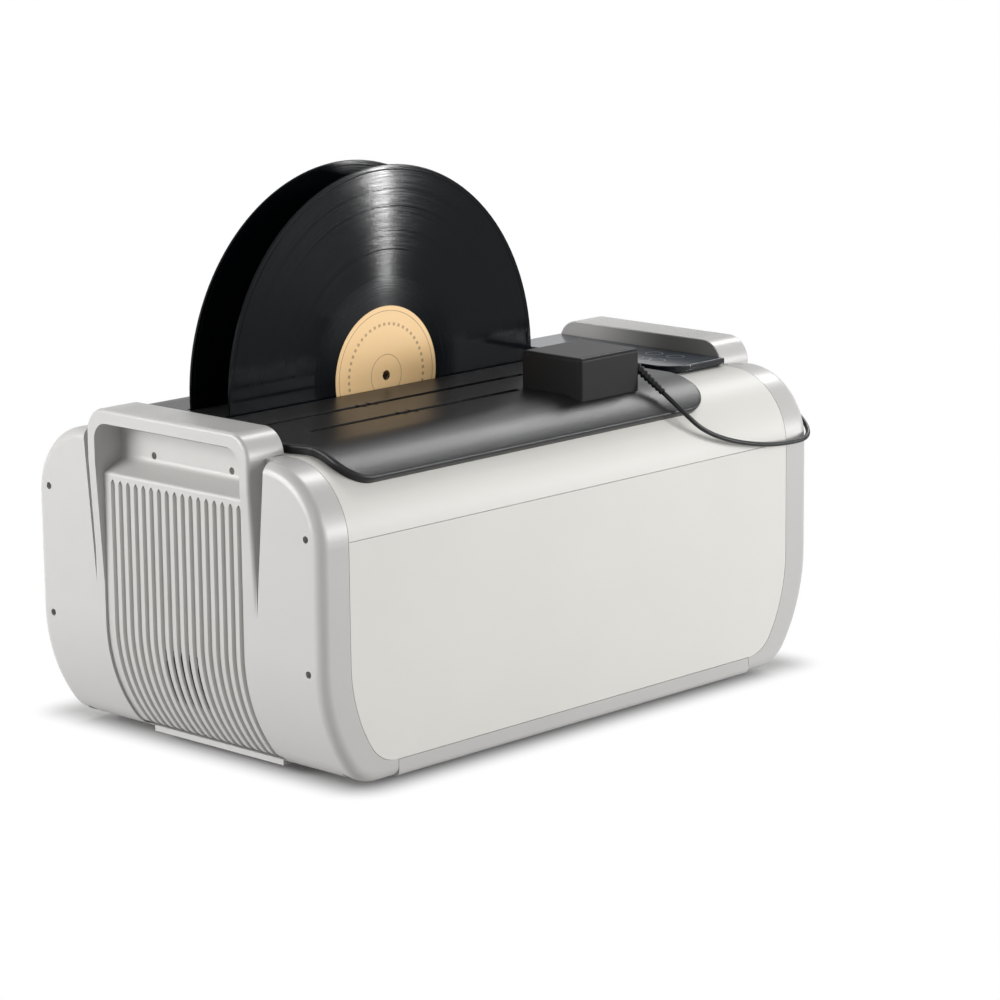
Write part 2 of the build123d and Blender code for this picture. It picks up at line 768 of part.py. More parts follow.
def panel_outline():
    """Front and rear panel in X, Z: square at the top, curved into the underside below."""
    top = seam_height - seam_gap / 2
    upper, lower = corner_curve(seam_half, seam_curve_radius - seam_gap, seam_curve_angle, strip_height)
    half = Line((0, strip_height), lower @ 1) + lower + upper
    half += Polyline((seam_half, curve_start), (seam_half, top), (0, top), (0, strip_height))
    face = make_face(half)
    return Plane.XZ * (face + mirror(face, about=Plane.YZ))


def front_panel():
    shell = body_shell(strip_height, seam_height, -seam_half, seam_half)
    return shell & along_y(panel_outline(), -half_depth - 1, -half_depth + 2 * skin)


def rear_cutout(center, size):
    """Square hole through the rear panel for a fitted part, with the fit's gap all round."""
    x, z = center
    half_width, half_height = [length / 2 + fit_gap for length in size]
    return block(x - half_width, x + half_width, half_depth - 2 * skin, half_depth + 1,
                 z - half_height, z + half_height)


def rear_panel():
    shell = body_shell(strip_height, seam_height, -seam_half, seam_half)
    panel = shell & along_y(panel_outline(), half_depth - 2 * skin, half_depth + 1)
    x0, x1 = drain_x - recess_side, drain_x + recess_side
    z0, z1 = drain_height - recess_below, drain_height + recess_above
    panel += block(x0, x1, recess_floor, half_depth - skin, z0, z1)
    panel -= block(x0 + skin, x1 - skin, recess_floor + skin, half_depth + 1, z0 + skin, z1 - skin)
    outlet = (drain_x, drain_height)
    panel -= rod_y(outlet, drain_pipe_radius + fit_gap, recess_floor - 1, recess_floor + 2 * skin)
    panel -= rear_cutout(inlet_center, inlet_size)
    return panel - rear_cutout(switch_center, switch_size)


def base_pan():
    end = strip_half - seam_gap
    floor = base_height + skin
    pan = block(-end, end, -half_depth, half_depth, base_height, strip_height - seam_gap)
    pan -= block(-end - 1, end + 1, -half_depth + skin, half_depth - skin, floor, strip_height)
    bottom = pan.edges().filter_by(Axis.X).group_by(Axis.Z)[0]
    pan = fillet([edge for edge in bottom if abs(abs((edge @ 0.5).Y) - half_depth) < 0.1], pan_edge_radius)
    inner = half_depth - skin - fit_gap
    tongue_end = end - tongue_inset
    tongue_start = drain_x + recess_side + tongue_inset
    high = strip_height + tongue_reach
    pan += block(-tongue_end, tongue_end, -inner, skin - inner, floor, high)
    pan += block(tongue_start, tongue_end, inner - skin, inner, floor, high)
    for x, y in foot_sites:
        pan += rod_z(x, y, foot_radius - foot_bore, base_height, floor + foot_boss)
        pan -= rod_z(x, y, foot_bore, base_height - 1, floor + foot_boss + 1)
    for side in (-1, 1):
        for y in (-cap_screw_y, cap_screw_y):
            x0, x1 = sorted((side * (end - lug_length), side * end))
            pan += block(x0, x1, y - lug_half, y + lug_half, floor, base_screw_height + lug_half)
            pan -= rod_x(y, base_screw_height, screw_shank / 2 + bore_clearance, x0 - 1, x1 + 1)
    return pan


def feet():
    profile = Plane.XZ * make_face(Polyline(
        (foot_bore, foot_bore), (foot_hollow, foot_bore), (foot_hollow, 0), (foot_radius, 0),
        (foot_radius - foot_taper, base_height), (foot_bore, base_height), close=True))
    foot = revolve(profile, Axis.Z)
    return [Pos(x, y, 0) * foot for x, y in foot_sites]


def end_frame(side):
    plate = along_x(body_section(-skin - fit_gap, frame_bottom), frame_inner, frame_outer)
    outer = half_depth - skin - fit_gap
    for y0, y1 in ((-outer, frame_thickness - outer), (outer - frame_thickness, outer)):
        plate += block(frame_outer - frame_flange, frame_outer, y0, y1, fan_height, side_top - frame_flange)
    for y, z, _, anchor in cap_screw_sites():
        if anchor == frame_outer:
            plate -= rod_x(y, z, screw_shank / 2 + bore_clearance, frame_inner - 1, frame_outer + 1)
    if side > 0:
        return plate - block(frame_inner - 1, frame_outer + 1, -frame_window_half, frame_window_half,
                             frame_window_low, frame_window_high)
    plate -= rod_x(0, fan_height, fan_bore, frame_inner - 1, frame_outer + 1)
    return mirror(plate, about=Plane.YZ)


# ---- tank ------------------------------------------------------------------------------
def tank():
    shell = along_z(tank_plan(tank_sheet), tank_floor - tank_sheet, flange_top)
    shell += along_z(tank_plan(tank_flange), flange_top - tank_sheet, flange_top)
    shell -= along_z(tank_plan(), tank_floor, flange_top + 1)
    bore = drain_pipe_radius - drain_pipe_wall
    return shell - rod_z(drain_x, drain_y, bore, tank_floor - 2 * tank_sheet, tank_floor + 1)


def tank_seal():
    ring = tank_plan(tank_flange - seal_inset) - tank_plan(rim_overlap)
    return along_z(ring, flange_top, flange_top + seal_thickness)


def transducers():
    top = tank_floor - tank_sheet
    profile = Plane.XZ * make_face(Polyline(
        (0, top), (transducer_radius, top), (transducer_radius, top - transducer_ring),
        (transducer_neck, top - transducer_neck_drop), (transducer_neck, top - transducer_length),
        (0, top - transducer_length), close=True))
    one = revolve(profile, Axis.Z)
    return [Pos(x, y, 0) * one for x, y in transducer_sites]


def drain_valve():
    """Outlet under the tank, its elbow, the valve body in the rear recess and the hose spigot."""
    axis = (drain_x, drain_height)
    path = FilletPolyline((drain_x, drain_y, tank_floor - tank_sheet), (drain_x, drain_y, drain_height),
                          (drain_x, drain_valve_y, drain_height), radius=drain_bend)
    start = Plane(path @ 0, z_dir=path % 0)
    body = sweep(start * Circle(drain_pipe_radius), path=path)
    body += rod_y(axis, drain_valve_radius, recess_floor + skin + fit_gap, drain_valve_y + drain_valve_end)
    body += rod_y(axis, drain_spigot_radius, drain_valve_y, half_depth - drain_spigot_inset)
    body += rod_z(drain_x, stem_y, drain_stem_radius, drain_height, drain_height + drain_stem_rise)
    bore = drain_pipe_radius - drain_pipe_wall
    body -= sweep(start * Circle(bore), path=path)
    return body - rod_y(axis, drain_spigot_radius - drain_pipe_wall, drain_valve_y, half_depth)


def drain_lever():
    """Lies across the pipe when the valve is shut."""
    low = drain_height + drain_lever_lift
    high = low + drain_lever_height
    middle = (low + high) / 2
    lever = rod_z(drain_x, stem_y, drain_lever_radius, low, high)
    lever += block(drain_x, drain_x + drain_lever_length, stem_y - drain_stem_radius,
                   stem_y + drain_stem_radius, middle, high)
    lever = fillet(lever.edges().filter_by(Axis.Z).group_by(Axis.X)[-1], drain_stem_radius - 0.5)
    return lever - rod_z(drain_x, stem_y, drain_stem_radius + bore_clearance, low - 1, high + 1)


# ---- electrics in the casing -----------------------------------------------------------
def centred_y(center, size, start, end):
    """Block round a centre in X, Z, between two depths."""
    return along_y(Plane.XZ * Pos(*center) * Rectangle(*size), start, end)


def mains_inlet():
    x, z = inlet_center
    inner = [length - 2 * inlet_shrink for length in inlet_size]
    body = centred_y(inlet_center, inlet_size, half_depth - skin, half_depth)
    body += centred_y(inlet_center, inner, half_depth - inlet_depth, half_depth - skin)
    well = Rectangle(*well_size)
    well = Plane.XZ * Pos(x, z) * chamfer(well.vertices().group_by(Axis.Y)[-1], well_corner)
    body -= along_y(well, half_depth - well_depth, half_depth + 1)
    for side, lift in ((-1, -1), (0, 1), (1, -1)):
        site = (x + side * pin_pitch, z + lift * pin_stagger)
        body += centred_y(site, pin_size, half_depth - well_depth - 1, half_depth - well_depth + pin_length)
    return body


def switch_bezel():
    bezel = centred_y(switch_center, switch_size, half_depth - switch_depth, half_depth)
    room = [length + 4 * fit_gap for length in rocker_size]
    return bezel - centred_y(switch_center, room, half_depth - switch_depth + switch_floor, half_depth + 1)


def switch_rocker():
    x, z = switch_center
    half = rocker_size[1] / 2 - rocker_end_gap
    foot = rocker_pivot_y - rocker_foot
    cheek = rocker_pivot_y + rocker_cheek
    face = half_depth - rocker_proud
    side = polygon_yz(
        (foot, z - rocker_foot_half), (foot, z + rocker_foot_half), (cheek, z + half), (face, z + half),
        (face - rocker_dish, z), (face, z - half), (cheek, z - half))
    rocker = along_x(side, x - rocker_size[0] / 2, x + rocker_size[0] / 2)
    hub = Pos(0, rocker_pivot_y, z)
    return hub * Rot(-rocker_tilt, 0, 0) * hub.inverse() * rocker


def fan_frame():
    x0, x1 = -frame_inner, -frame_inner + fan_depth
    half = fan_size / 2
    frame = block(x0, x1, -half, half, fan_height - half, fan_height + half)
    frame = fillet(frame.edges().filter_by(Axis.X), fan_corner)
    frame -= rod_x(0, fan_height, fan_bore, x0 - 1, x1 + 1)
    bar = block(x1 - fan_spider, x1, -fan_bore - 1, fan_bore + 1, -fan_spider, fan_spider)
    for turn in (45, 135):
        frame += Pos(0, 0, fan_height) * Rot(turn, 0, 0) * bar
    return frame + rod_x(0, fan_height, fan_hub, x1 - fan_spider, x1)


def fan_rotor():
    back = -frame_inner + fan_depth - fan_spider - rotor_gap
    rotor = rod_x(0, fan_height, fan_hub - rotor_gap, back - rotor_length, back)
    half = blade_chord / 2
    blade = block(-blade_thickness / 2, blade_thickness / 2, -half, half,
                  fan_hub - fan_spider, fan_bore - blade_gap)
    blade = Rot(0, 0, blade_pitch) * blade
    for index in range(fan_blades):
        rotor += Pos(back - rotor_length / 2, 0, fan_height) * Rot(index * 360 / fan_blades, 0, 0) * blade
    return rotor


def generator_board():
    """Board on its posts, with a transformer, a finned heat sink and two capacitors."""
    face = board_x - board_thickness
    board = block(face, board_x, -board_half, board_half, board_low, board_high)
    inset = board_half - post_inset
    posts = [rod_x(y, z, post_radius, board_x, frame_inner)
             for y in (-inset, inset) for z in (board_low + post_inset, board_high - post_inset)]
    deep, wide, tall = transformer_size
    y0, z0 = 2 * post_inset - board_half, board_low + 2 * post_inset
    transformer = block(face - deep, face, y0, y0 + wide, z0, z0 + tall)
    sink_end = board_half - post_inset - post_radius
    sink_top = board_high - 2 * post_inset
    heat_sink = block(face - sink_base, face, post_inset, sink_end, z0, sink_top)
    pitch = (sink_end - post_inset - sink_fin) / (sink_fins - 1)
    for index in range(sink_fins):
        y = post_inset + index * pitch
        heat_sink += block(face - sink_height, face - sink_base, y, y + sink_fin, z0, sink_top)
    can_z = board_high - post_inset - 2.5 * can_radius
    cans = [rod_x(y0 + side * can_radius, can_z, can_radius, face - can_height, face) for side in (0.5, 3)]
    return board, posts, [transformer, heat_sink, *cans]


def panel_plan(inset):
    """Control panel from above, its two corners beside the lid rounded."""
    plan = Pos((panel_left + panel_right) / 2, (panel_front + panel_back) / 2)
    plan = plan * Rectangle(panel_right - panel_left - 2 * inset, panel_back - panel_front - 2 * inset)
    return fillet(plan.vertices().group_by(Axis.X)[0], panel_corner - inset)


def control_panel():
    plinth_top = deck_height + plinth_rise
    plate = along_z(panel_plan(0), plinth_top, panel_top)
    plate = fillet(plate.faces().sort_by(Axis.Z)[-1].edges(), panel_edge_radius)
    plate += along_z(panel_plan(plinth_inset), deck_height, plinth_top)
    return plate - panel_room_block(0, deck_height - 1, panel_under)


def touch_board():
    return panel_room_block(board_gap, panel_under - board_thickness, panel_under)


# ---- lid -------------------------------------------------------------------------------
def corner_tool(edge, way, side, angle, radius):
    """Rounds one corner of the lid, cutting square to the shoulder at the lip."""
    reach = shoulder_radius + lid_rise
    outward = (0, side * math.sin(angle), math.cos(angle))
    lip = Vector(edge, side * (shoulder_y + reach * math.sin(angle)), side_top + reach * math.cos(angle))
    plane = Plane(lip, x_dir=(way, 0, 0), z_dir=outward)
    up = 1 if plane.y_dir.Z > 0 else -1
    square = Pos(radius / 2 - 1, up * (radius / 2 - 1)) * Rectangle(radius + 2, radius + 2)
    disc = Pos(radius, up * radius) * Circle(radius)
    return extrude(plane * (square - disc), amount=lid_corner, both=True)


def lid_solid(inset, low, high):
    """The lid's outline on the body surface, between two offsets from it."""
    angle = math.radians(lid_lip_angle) - inset / (shoulder_radius + lid_rise)
    reach = half_depth
    far = seam_half + clear
    corner_y = shoulder_y + reach * math.sin(angle)
    corner_z = side_top + reach * math.cos(angle)
    wedge = polygon_yz(
        (-shoulder_y, side_top), (-corner_y, corner_z), (-corner_y, corner_z + reach),
        (corner_y, corner_z + reach), (corner_y, corner_z), (shoulder_y, side_top))
    band = along_x(body_section(high), -far, far) - along_x(body_section(low), -far, far)
    band &= along_x(wedge, -far, far)
    left = lid_left + inset
    right = lid_right - inset
    flare = left - lid_left_flare
    flare_start = handle_half + lid_flare_start
    flare_end = handle_half - lid_flare_end
    plan = make_face(Polyline(
        (right, -half_depth), (right, half_depth), (left, half_depth), (left, flare_start),
        (flare, flare_end), (flare, -flare_end), (left, -flare_start), (left, -half_depth),
        close=True))
    bends = [point for point in plan.vertices() if abs(point.Y) < half_depth - 1]
    band &= along_z(fillet(bends, lid_flare_radius), side_top, deck_height + clear)
    for side in (-1, 1):
        for edge, way in ((left, 1), (right, -1)):
            band -= corner_tool(edge, way, side, angle, lid_corner - inset)
    return band


def lid_deck():
    deck = lid_solid(0, lid_rest, lid_rise)

    def on_outline(edge):
        middle = edge @ 0.5
        drop = max(abs(middle.Y) - shoulder_y, 0)
        reach = math.hypot(drop, middle.Z - side_top)
        on_surface = abs(reach - shoulder_radius - lid_rise) < 0.05
        return on_surface and not (abs(edge.tangent_at(0.5).X) > 0.99 and abs(middle.Y) < shoulder_y + 2)

    deck = fillet([edge for edge in deck.edges() if on_outline(edge)], lid_edge_radius)
    deck -= lid_solid(lid_rim, 0, lid_rise - lid_wall)
    skirt = tank_plan(-skirt_gap) - tank_plan(-skirt_gap - skirt_wall)
    deck += along_z(skirt, deck_height - skirt_depth, lid_under)
    low, high = deck_height - lid_rise, deck_height + 2 * lid_rise
    for y, middle, reach in slots:
        deck -= block(middle - reach, middle + reach, y - slot_width / 2, y + slot_width / 2, low, high)
    border = box_wall + housing_ledge
    return deck - block(box_left + border, box_right - border, box_front + housing_ledge, box_back - border,
                        deck_height - clear, high)


def motor_housing():
    low = side_top
    shell = block(box_left, box_right, box_front, box_back, low, box_top)
    outside = shell.edges().filter_by(Axis.Z) + shell.edges().group_by(Axis.Z)[-1]
    shell = fillet(outside, box_radius)
    shell -= block(box_left + box_wall, box_right - box_wall, box_front + box_wall, box_back - box_wall,
                   low - 1, box_top - box_wall)
    return shell - along_x(body_section(lid_rise), -end_half, end_half)


# ---- record drive ----------------------------------------------------------------------
def involute(angle):
    return math.tan(angle) - angle


def gear_face(teeth, center, phase):
    """Spur gear outline, one tooth centred at the phase angle."""
    pitch_radius = gear_module * teeth / 2
    base_radius = pitch_radius * math.cos(math.radians(pressure_angle))
    half_tooth = math.pi / 2 / teeth - backlash / 4 / pitch_radius + involute(math.radians(pressure_angle))
    radii = (pitch_radius - gear_dedendum * gear_module, pitch_radius,
             pitch_radius + gear_addendum * gear_module)
    flank = []
    for radius in radii:
        roll = math.acos(min(base_radius / radius, 1.0))
        flank.append((radius, half_tooth - involute(roll)))
    points = []
    for index in range(teeth):
        middle = phase + index * 2 * math.pi / teeth
        points += [(radius, middle - half) for radius, half in flank]
        points += [(radius, middle + half) for radius, half in reversed(flank)]
    return Plane.XZ * make_face(Polyline(
        *[(center[0] + r * math.cos(a), center[1] + r * math.sin(a)) for r, a in points], close=True))


def mesh_phase(teeth, center, phase, next_teeth, next_center):
    """Phase that puts a gap of the next gear opposite a tooth of this one."""
    bearing = math.atan2(next_center[1] - center[1], next_center[0] - center[0])
    part = (bearing - phase) * teeth / (2 * math.pi)
    return bearing + math.pi - (0.5 - part) * 2 * math.pi / next_teeth


def spur_gear(teeth, center, phase, bore):
    half = gear_width / 2
    gear = along_y(gear_face(teeth, center, phase), gear_plane - half, gear_plane + half)
    return gear - rod_y(center, bore, gear_plane - half - 1, gear_plane + half + 1)


def wheel(center, y):
    """Grooved rubber wheel on which a record's rim rides."""
    half = wheel_width / 2
    profile = make_face(Polyline(
        (shaft_radius, -half), (wheel_flange, -half), (wheel_flange, -groove_mouth / 2),
        (wheel_groove, -groove_floor / 2), (wheel_groove, groove_floor / 2),
        (wheel_flange, groove_mouth / 2), (wheel_flange, half), (shaft_radius, half), close=True))
    return Pos(center[0], y, center[1]) * revolve(profile, Axis.Y)


def record(y):
    """A 12-inch record: thin web, thicker bevelled rim."""
    half_rim = record_rim / 2
    half_web = record_web / 2
    rim = lp_radius - record_rim_width
    edge = lp_radius - record_edge
    profile = make_face(Polyline(
        (spindle_hole, -half_web), (rim, -half_web), (rim + record_rim_slope, -half_rim), (edge, -half_rim),
        (lp_radius, 0), (edge, half_rim), (rim + record_rim_slope, half_rim), (rim, half_web),
        (spindle_hole, half_web), close=True))
    return Pos(lp_center[0], y, lp_center[1]) * revolve(profile, Axis.Y)


def labels(y):
    ring = Plane.XZ * (Pos(*lp_center) * (Circle(label_radius) - Circle(spindle_hole)))
    face = record_web / 2
    return [along_y(ring, y + face, y + face + label_thickness),
            along_y(ring, y - face - label_thickness, y - face)]


def hanger_plate(y, window_start, window_end, flange_right, way):
    """Plate that hangs from the lid, with one window, the shafts' bores and a flange on top."""
    plate = Plane.XZ * make_face(Polyline(
        (hanger_left, lid_under), (hanger_left, deck_height - hanger_shoulder_drop - hanger_taper),
        (hanger_left + hanger_taper, hanger_bottom), (hanger_right - hanger_chamfer, hanger_bottom),
        (hanger_right, hanger_bottom + hanger_chamfer), (hanger_right, deck_height - hanger_shoulder_drop),
        (hanger_right - hanger_chamfer, deck_height - hanger_neck_drop),
        (flange_right, deck_height - hanger_neck_drop), (flange_right, lid_under), close=True))
    plate = along_y(plate, y, y + hanger_sheet)
    low, high = hanger_bottom + window_rise, deck_height - window_top_drop
    middle = Pos((window_start + window_end) / 2, (low + high) / 2)
    window = Plane.XZ * middle * RectangleRounded(window_end - window_start, high - low, window_corner)
    plate -= along_y(window, y - 1, y + hanger_sheet + 1)
    for center, start, end in shafts.values():
        if start < y < end:
            plate -= rod_y(center, shaft_radius + bore_clearance, y - 1, y + hanger_sheet + 1)
    for center in tie_sites:
        plate -= rod_y(center, tie_hole, y - 1, y + hanger_sheet + 1)
    start = y if way > 0 else y + hanger_sheet - hanger_flange
    return plate + block(hanger_left, flange_right, start, start + hanger_flange,
                         lid_under - hanger_sheet, lid_under)


def front_hanger():
    """The front plate also carries the middle gear and, on its tongue, the motor."""
    y = hanger_front
    window_start, window_end = ten_idler[0] + window_side, seven_drive[0] - window_side
    plate = hanger_plate(y, window_start, window_end, box_left + tongue_side, 1)
    x = pinion_center[0]
    tongue = block(x - tongue_half, x + tongue_half, y, y + hanger_sheet,
                   deck_height - tongue_drop, deck_height + tongue_rise)
    plate += tongue
    plate -= rod_y(pinion_center, motor_nose + bore_clearance, y - 1, y + hanger_sheet + 1)
    return plate - rod_y(middle_gear, shaft_radius + bore_clearance, y - 1, y + hanger_sheet + 1)


def bushes():
    """A bush on the outside of each outer plate, round every shaft that comes through."""
    spots = [(center, start) for center, start, _ in shafts.values() if start == front_end]
    spots.append((middle_gear, front_end))
    spots += [(center, end - bush_length) for center, _, end in shafts.values() if end == back_end]
    rings = []
    for center, low in spots:
        ring = rod_y(center, bush_radius, low, low + bush_length)
        rings.append(ring - rod_y(center, shaft_radius + bore_clearance, low - 1, low + bush_length + 1))
    return rings


def tie_rods():
    spans = ((hanger_front + hanger_sheet, hanger_middle), (hanger_middle + hanger_sheet, hanger_back))
    return [rod_y(center, tie_radius, low, high) for center in tie_sites for low, high in spans]


def drive_motor():
    motor = rod_y(pinion_center, motor_radius, hanger_front - motor_length, hanger_front)
    motor += rod_y(pinion_center, motor_nose, hanger_front, hanger_front + hanger_sheet / 2)
    bore = motor_shaft_radius + bore_clearance
    seat = hanger_front - motor_shaft_reach
    return motor - rod_y(pinion_center, bore, seat - 1, hanger_front + hanger_sheet)


# ---- lead ------------------------------------------------------------------------------
def lead_radii():
    points = [Vector(*point) for point in lead_route]
    radii = []
    for before, here, after in zip(points, points[1:], points[2:]):
        turn = math.radians((here - before).get_angle(after - here))
        shorter = min((here - before).length, (after - here).length)
        radii.append(lead_corner_share * shorter / math.tan(turn / 2))
    return radii


def lead():
    radii = lead_radii()
    print("lead radii", [round(radius, 1) for radius in radii])
    path = FilletPolyline(*lead_route, radius=radii)
    tube = sweep(Plane(path @ 0, z_dir=path % 0) * Circle(lead_diameter / 2), path=path)
    section = math.pi * lead_diameter ** 2 / 4
    ratio = tube.volume / section / path.length
    print("lead length", round(path.length, 1), "volume ratio", round(ratio, 4))
    side = block(0, lead_parting, -2 * half_depth, 0, 0, 2 * deck_height)
    return tube & side, tube - side


def lead_relief():
    """Tapered sleeve from the housing's right wall to the start of the lead."""
    way = (Vector(*lead_route[1]) - Vector(*lead_route[0])).normalized()
    foot = Vector(box_right, box_front + relief_side, box_top - relief_drop)
    tip = Plane(foot + way * relief_length, z_dir=way * -1)
    body = loft([tip * Circle(relief_thin), tip.offset(relief_length + relief_root) * Circle(relief_thick)])
    return body - block(box_left, box_right, -half_depth, 0, side_top, box_top)


def lead_plug():
    end = Vector(*lead_route[-1])
    center = Vector(end.X, *jack_center)
    way = center - end
    neck = extrude(Plane(end, z_dir=way.normalized()) * Circle(plug_neck_radius), amount=way.length)
    body = rod_x(*jack_center, plug_radius, end_half + jack_flange + plug_gap, plug_reach)
    barrel = rod_x(*jack_center, barrel_radius, end_half - barrel_length, end_half + jack_flange + plug_gap)
    return neck + body + barrel


def dc_jack():
    body = rod_x(*jack_center, jack_body_radius, end_half - jack_length, end_half)
    body += rod_x(*jack_center, jack_radius, end_half, end_half + jack_flange)
    return body - rod_x(*jack_center, barrel_radius + bore_clearance, end_half - jack_bore, end_half + 1)


# ---- write every sub-part --------------------------------------------------------------
plain_cap = end_cap()
right_cap = plain_cap - rod_x(*jack_center, jack_body_radius + bore_clearance, frame_outer, end_half + 1)
right_screws = cap_screws()
print("end cap", round(plain_cap.volume), len(plain_cap.solids()))
save("right_end_cap", right_cap)
save("left_end_cap", mirror(plain_cap, about=Plane.YZ))
save("handle_liners", liner(), mirror(liner(), about=Plane.YZ))
save("end_cap_screws", *right_screws, *[mirror(screw, about=Plane.YZ) for screw in right_screws])
save("dc_plug", lead_plug())
save("dc_jack", dc_jack())

save("top_cover", top_cover())
save("front_panel", front_panel())
save("rear_panel", rear_panel())
save("base_pan", base_pan())
save("feet", *feet())
save("right_end_frame", end_frame(1))
save("left_end_frame", end_frame(-1))

save("tank", tank())
save("tank_seal", tank_seal())
save("transducers", *transducers())
save("drain_valve", drain_valve())
save("drain_lever", drain_lever())

save("mains_inlet", mains_inlet())
save("switch_bezel", switch_bezel())
save("switch_rocker", switch_rocker())
save("fan_frame", fan_frame())
save("fan_rotor", fan_rotor())
board, posts, board_parts = generator_board()
save("generator_board", board)
save("board_posts", *posts)
save("board_parts", *board_parts)
save("control_panel", control_panel())
save("touch_board", touch_board())

save("lid_deck", lid_deck())
save("motor_housing", motor_housing())
save("drive_motor", drive_motor())
wide_flange = hanger_right - hanger_taper
lp_window = lp_idler[0] + window_side
save("front_hanger", front_hanger())
save("middle_hanger", hanger_plate(hanger_middle, lp_window, ten_drive[0] - window_side, wide_flange, 1))
save("back_hanger", hanger_plate(hanger_back, lp_window, lp_drive[0] - window_side, wide_flange, -1))
save("tie_rods", *tie_rods())
save("shaft_bushes", *bushes())

for name, (center, start, end) in shafts.items():
    save(name, rod_y(center, shaft_radius, start, end))
ten_phase = mesh_phase(gear_teeth, lp_drive, 0.0, gear_teeth, ten_drive)
seven_phase = mesh_phase(gear_teeth, ten_drive, ten_phase, seven_teeth, seven_drive)
middle_phase = mesh_phase(gear_teeth, ten_drive, ten_phase, middle_teeth, middle_gear)
pinion_phase = mesh_phase(middle_teeth, middle_gear, middle_phase, pinion_teeth, pinion_center)
save("lp_gear", spur_gear(gear_teeth, lp_drive, 0.0, shaft_radius))
save("ten_gear", spur_gear(gear_teeth, ten_drive, ten_phase, shaft_radius))
save("seven_gear", spur_gear(seven_teeth, seven_drive, seven_phase, shaft_radius))
stub = rod_y(middle_gear, shaft_radius, front_end, gear_plane - gear_width / 2)
save("middle_gear", spur_gear(middle_teeth, middle_gear, middle_phase, stub_bore) + stub)
pinion = spur_gear(pinion_teeth, pinion_center, pinion_phase, motor_shaft_radius)
shaft_end = gear_plane + gear_width / 2 + 1
pinion += rod_y(pinion_center, motor_shaft_radius, hanger_front - motor_shaft_reach, shaft_end)
save("motor_pinion", pinion)
save("lp_drive_wheels", wheel(lp_drive, lp_front), wheel(lp_drive, lp_rear))
save("ten_drive_wheel", wheel(ten_drive, ten_slot))
save("seven_drive_wheel", wheel(seven_drive, seven_slot))
save("lp_idler_wheels", wheel(lp_idler, lp_front), wheel(lp_idler, lp_rear))
save("ten_idler_wheel", wheel(ten_idler, ten_slot))
save("seven_idler_wheel", wheel(seven_idler, seven_slot))

for name, y in (("front", lp_front), ("rear", lp_rear)):
    save(f"{name}_record", record(y))
    save(f"{name}_labels", *labels(y))

lead_on_lid, lead_on_body = lead()
save("lead_lid", lead_on_lid)
save("lead_body", lead_on_body)
save("lead_relief", lead_relief())
print("drives", lp_drive, ten_drive, seven_drive, "middle", middle_gear, "pinion", pinion_center)
print("idlers", lp_idler, ten_idler, seven_idler, "ten", ten_center, "seven", seven_center)
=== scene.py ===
import bpy
import bmesh
import math
from mathutils import Matrix, Vector


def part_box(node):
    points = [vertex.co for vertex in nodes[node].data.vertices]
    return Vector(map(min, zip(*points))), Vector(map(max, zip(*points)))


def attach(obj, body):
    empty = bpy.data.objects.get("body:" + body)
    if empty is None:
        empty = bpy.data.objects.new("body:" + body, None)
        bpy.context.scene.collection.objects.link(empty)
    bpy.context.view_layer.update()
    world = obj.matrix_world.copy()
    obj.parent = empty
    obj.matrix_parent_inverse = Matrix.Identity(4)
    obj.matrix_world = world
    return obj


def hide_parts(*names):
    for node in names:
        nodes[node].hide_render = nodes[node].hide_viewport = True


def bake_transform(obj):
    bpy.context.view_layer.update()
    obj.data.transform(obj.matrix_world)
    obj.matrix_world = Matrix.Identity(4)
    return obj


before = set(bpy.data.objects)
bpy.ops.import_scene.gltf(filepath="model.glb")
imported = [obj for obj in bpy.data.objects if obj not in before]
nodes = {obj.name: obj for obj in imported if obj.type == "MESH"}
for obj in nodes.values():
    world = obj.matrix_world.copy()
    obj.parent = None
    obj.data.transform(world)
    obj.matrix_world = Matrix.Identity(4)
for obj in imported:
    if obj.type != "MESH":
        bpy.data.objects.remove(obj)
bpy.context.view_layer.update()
scene = bpy.context.scene
mm = 0.001


def srgb(r, g, b):
    values = [value / 255 for value in (r, g, b)]
    linear = [v / 12.92 if v <= 0.04045 else ((v + 0.055) / 1.055) ** 2.4 for v in values]
    return (*linear, 1.0)


def addMath(tree, operation, *values):
    node = tree.nodes.new("ShaderNodeMath")
    node.operation = operation
    for socket, value in zip(node.inputs, values):
        if isinstance(value, (int, float)):
            socket.default_value = value
        else:
            tree.links.new(value, socket)
    return node.outputs[0]


def addMix(tree, mask, low, high):
    mix = tree.nodes.new("ShaderNodeMix")
    mix.data_type = "RGBA"
    tree.links.new(mask, mix.inputs["Factor"])
    for label, value in (("A", low), ("B", high)):
        if isinstance(value, tuple):
            mix.inputs[label].default_value = value
        else:
            tree.links.new(value, mix.inputs[label])
    return mix.outputs["Result"]


def addNoise(tree, vector, scale, detail):
    noise = tree.nodes.new("ShaderNodeTexNoise")
    noise.inputs["Detail"].default_value = detail
    tree.links.new(vector, noise.inputs["Vector"])
    if isinstance(scale, float):
        noise.inputs["Scale"].default_value = scale
    else:
        tree.links.new(scale, noise.inputs["Scale"])
    return noise.outputs["Fac"]


def addAxes(tree):
    place = tree.nodes.new("ShaderNodeTexCoord")
    split = tree.nodes.new("ShaderNodeSeparateXYZ")
    tree.links.new(place.outputs["Object"], split.inputs[0])
    return place.outputs["Object"], split


def addRange(tree, value, start, end, low=0.0, high=1.0, kind="LINEAR"):
    node = tree.nodes.new("ShaderNodeMapRange")
    node.interpolation_type = kind
    for label, number in (("From Min", start), ("From Max", end), ("To Min", low), ("To Max", high)):
        node.inputs[label].default_value = number
    tree.links.new(value, node.inputs["Value"])
    return node.outputs["Result"]


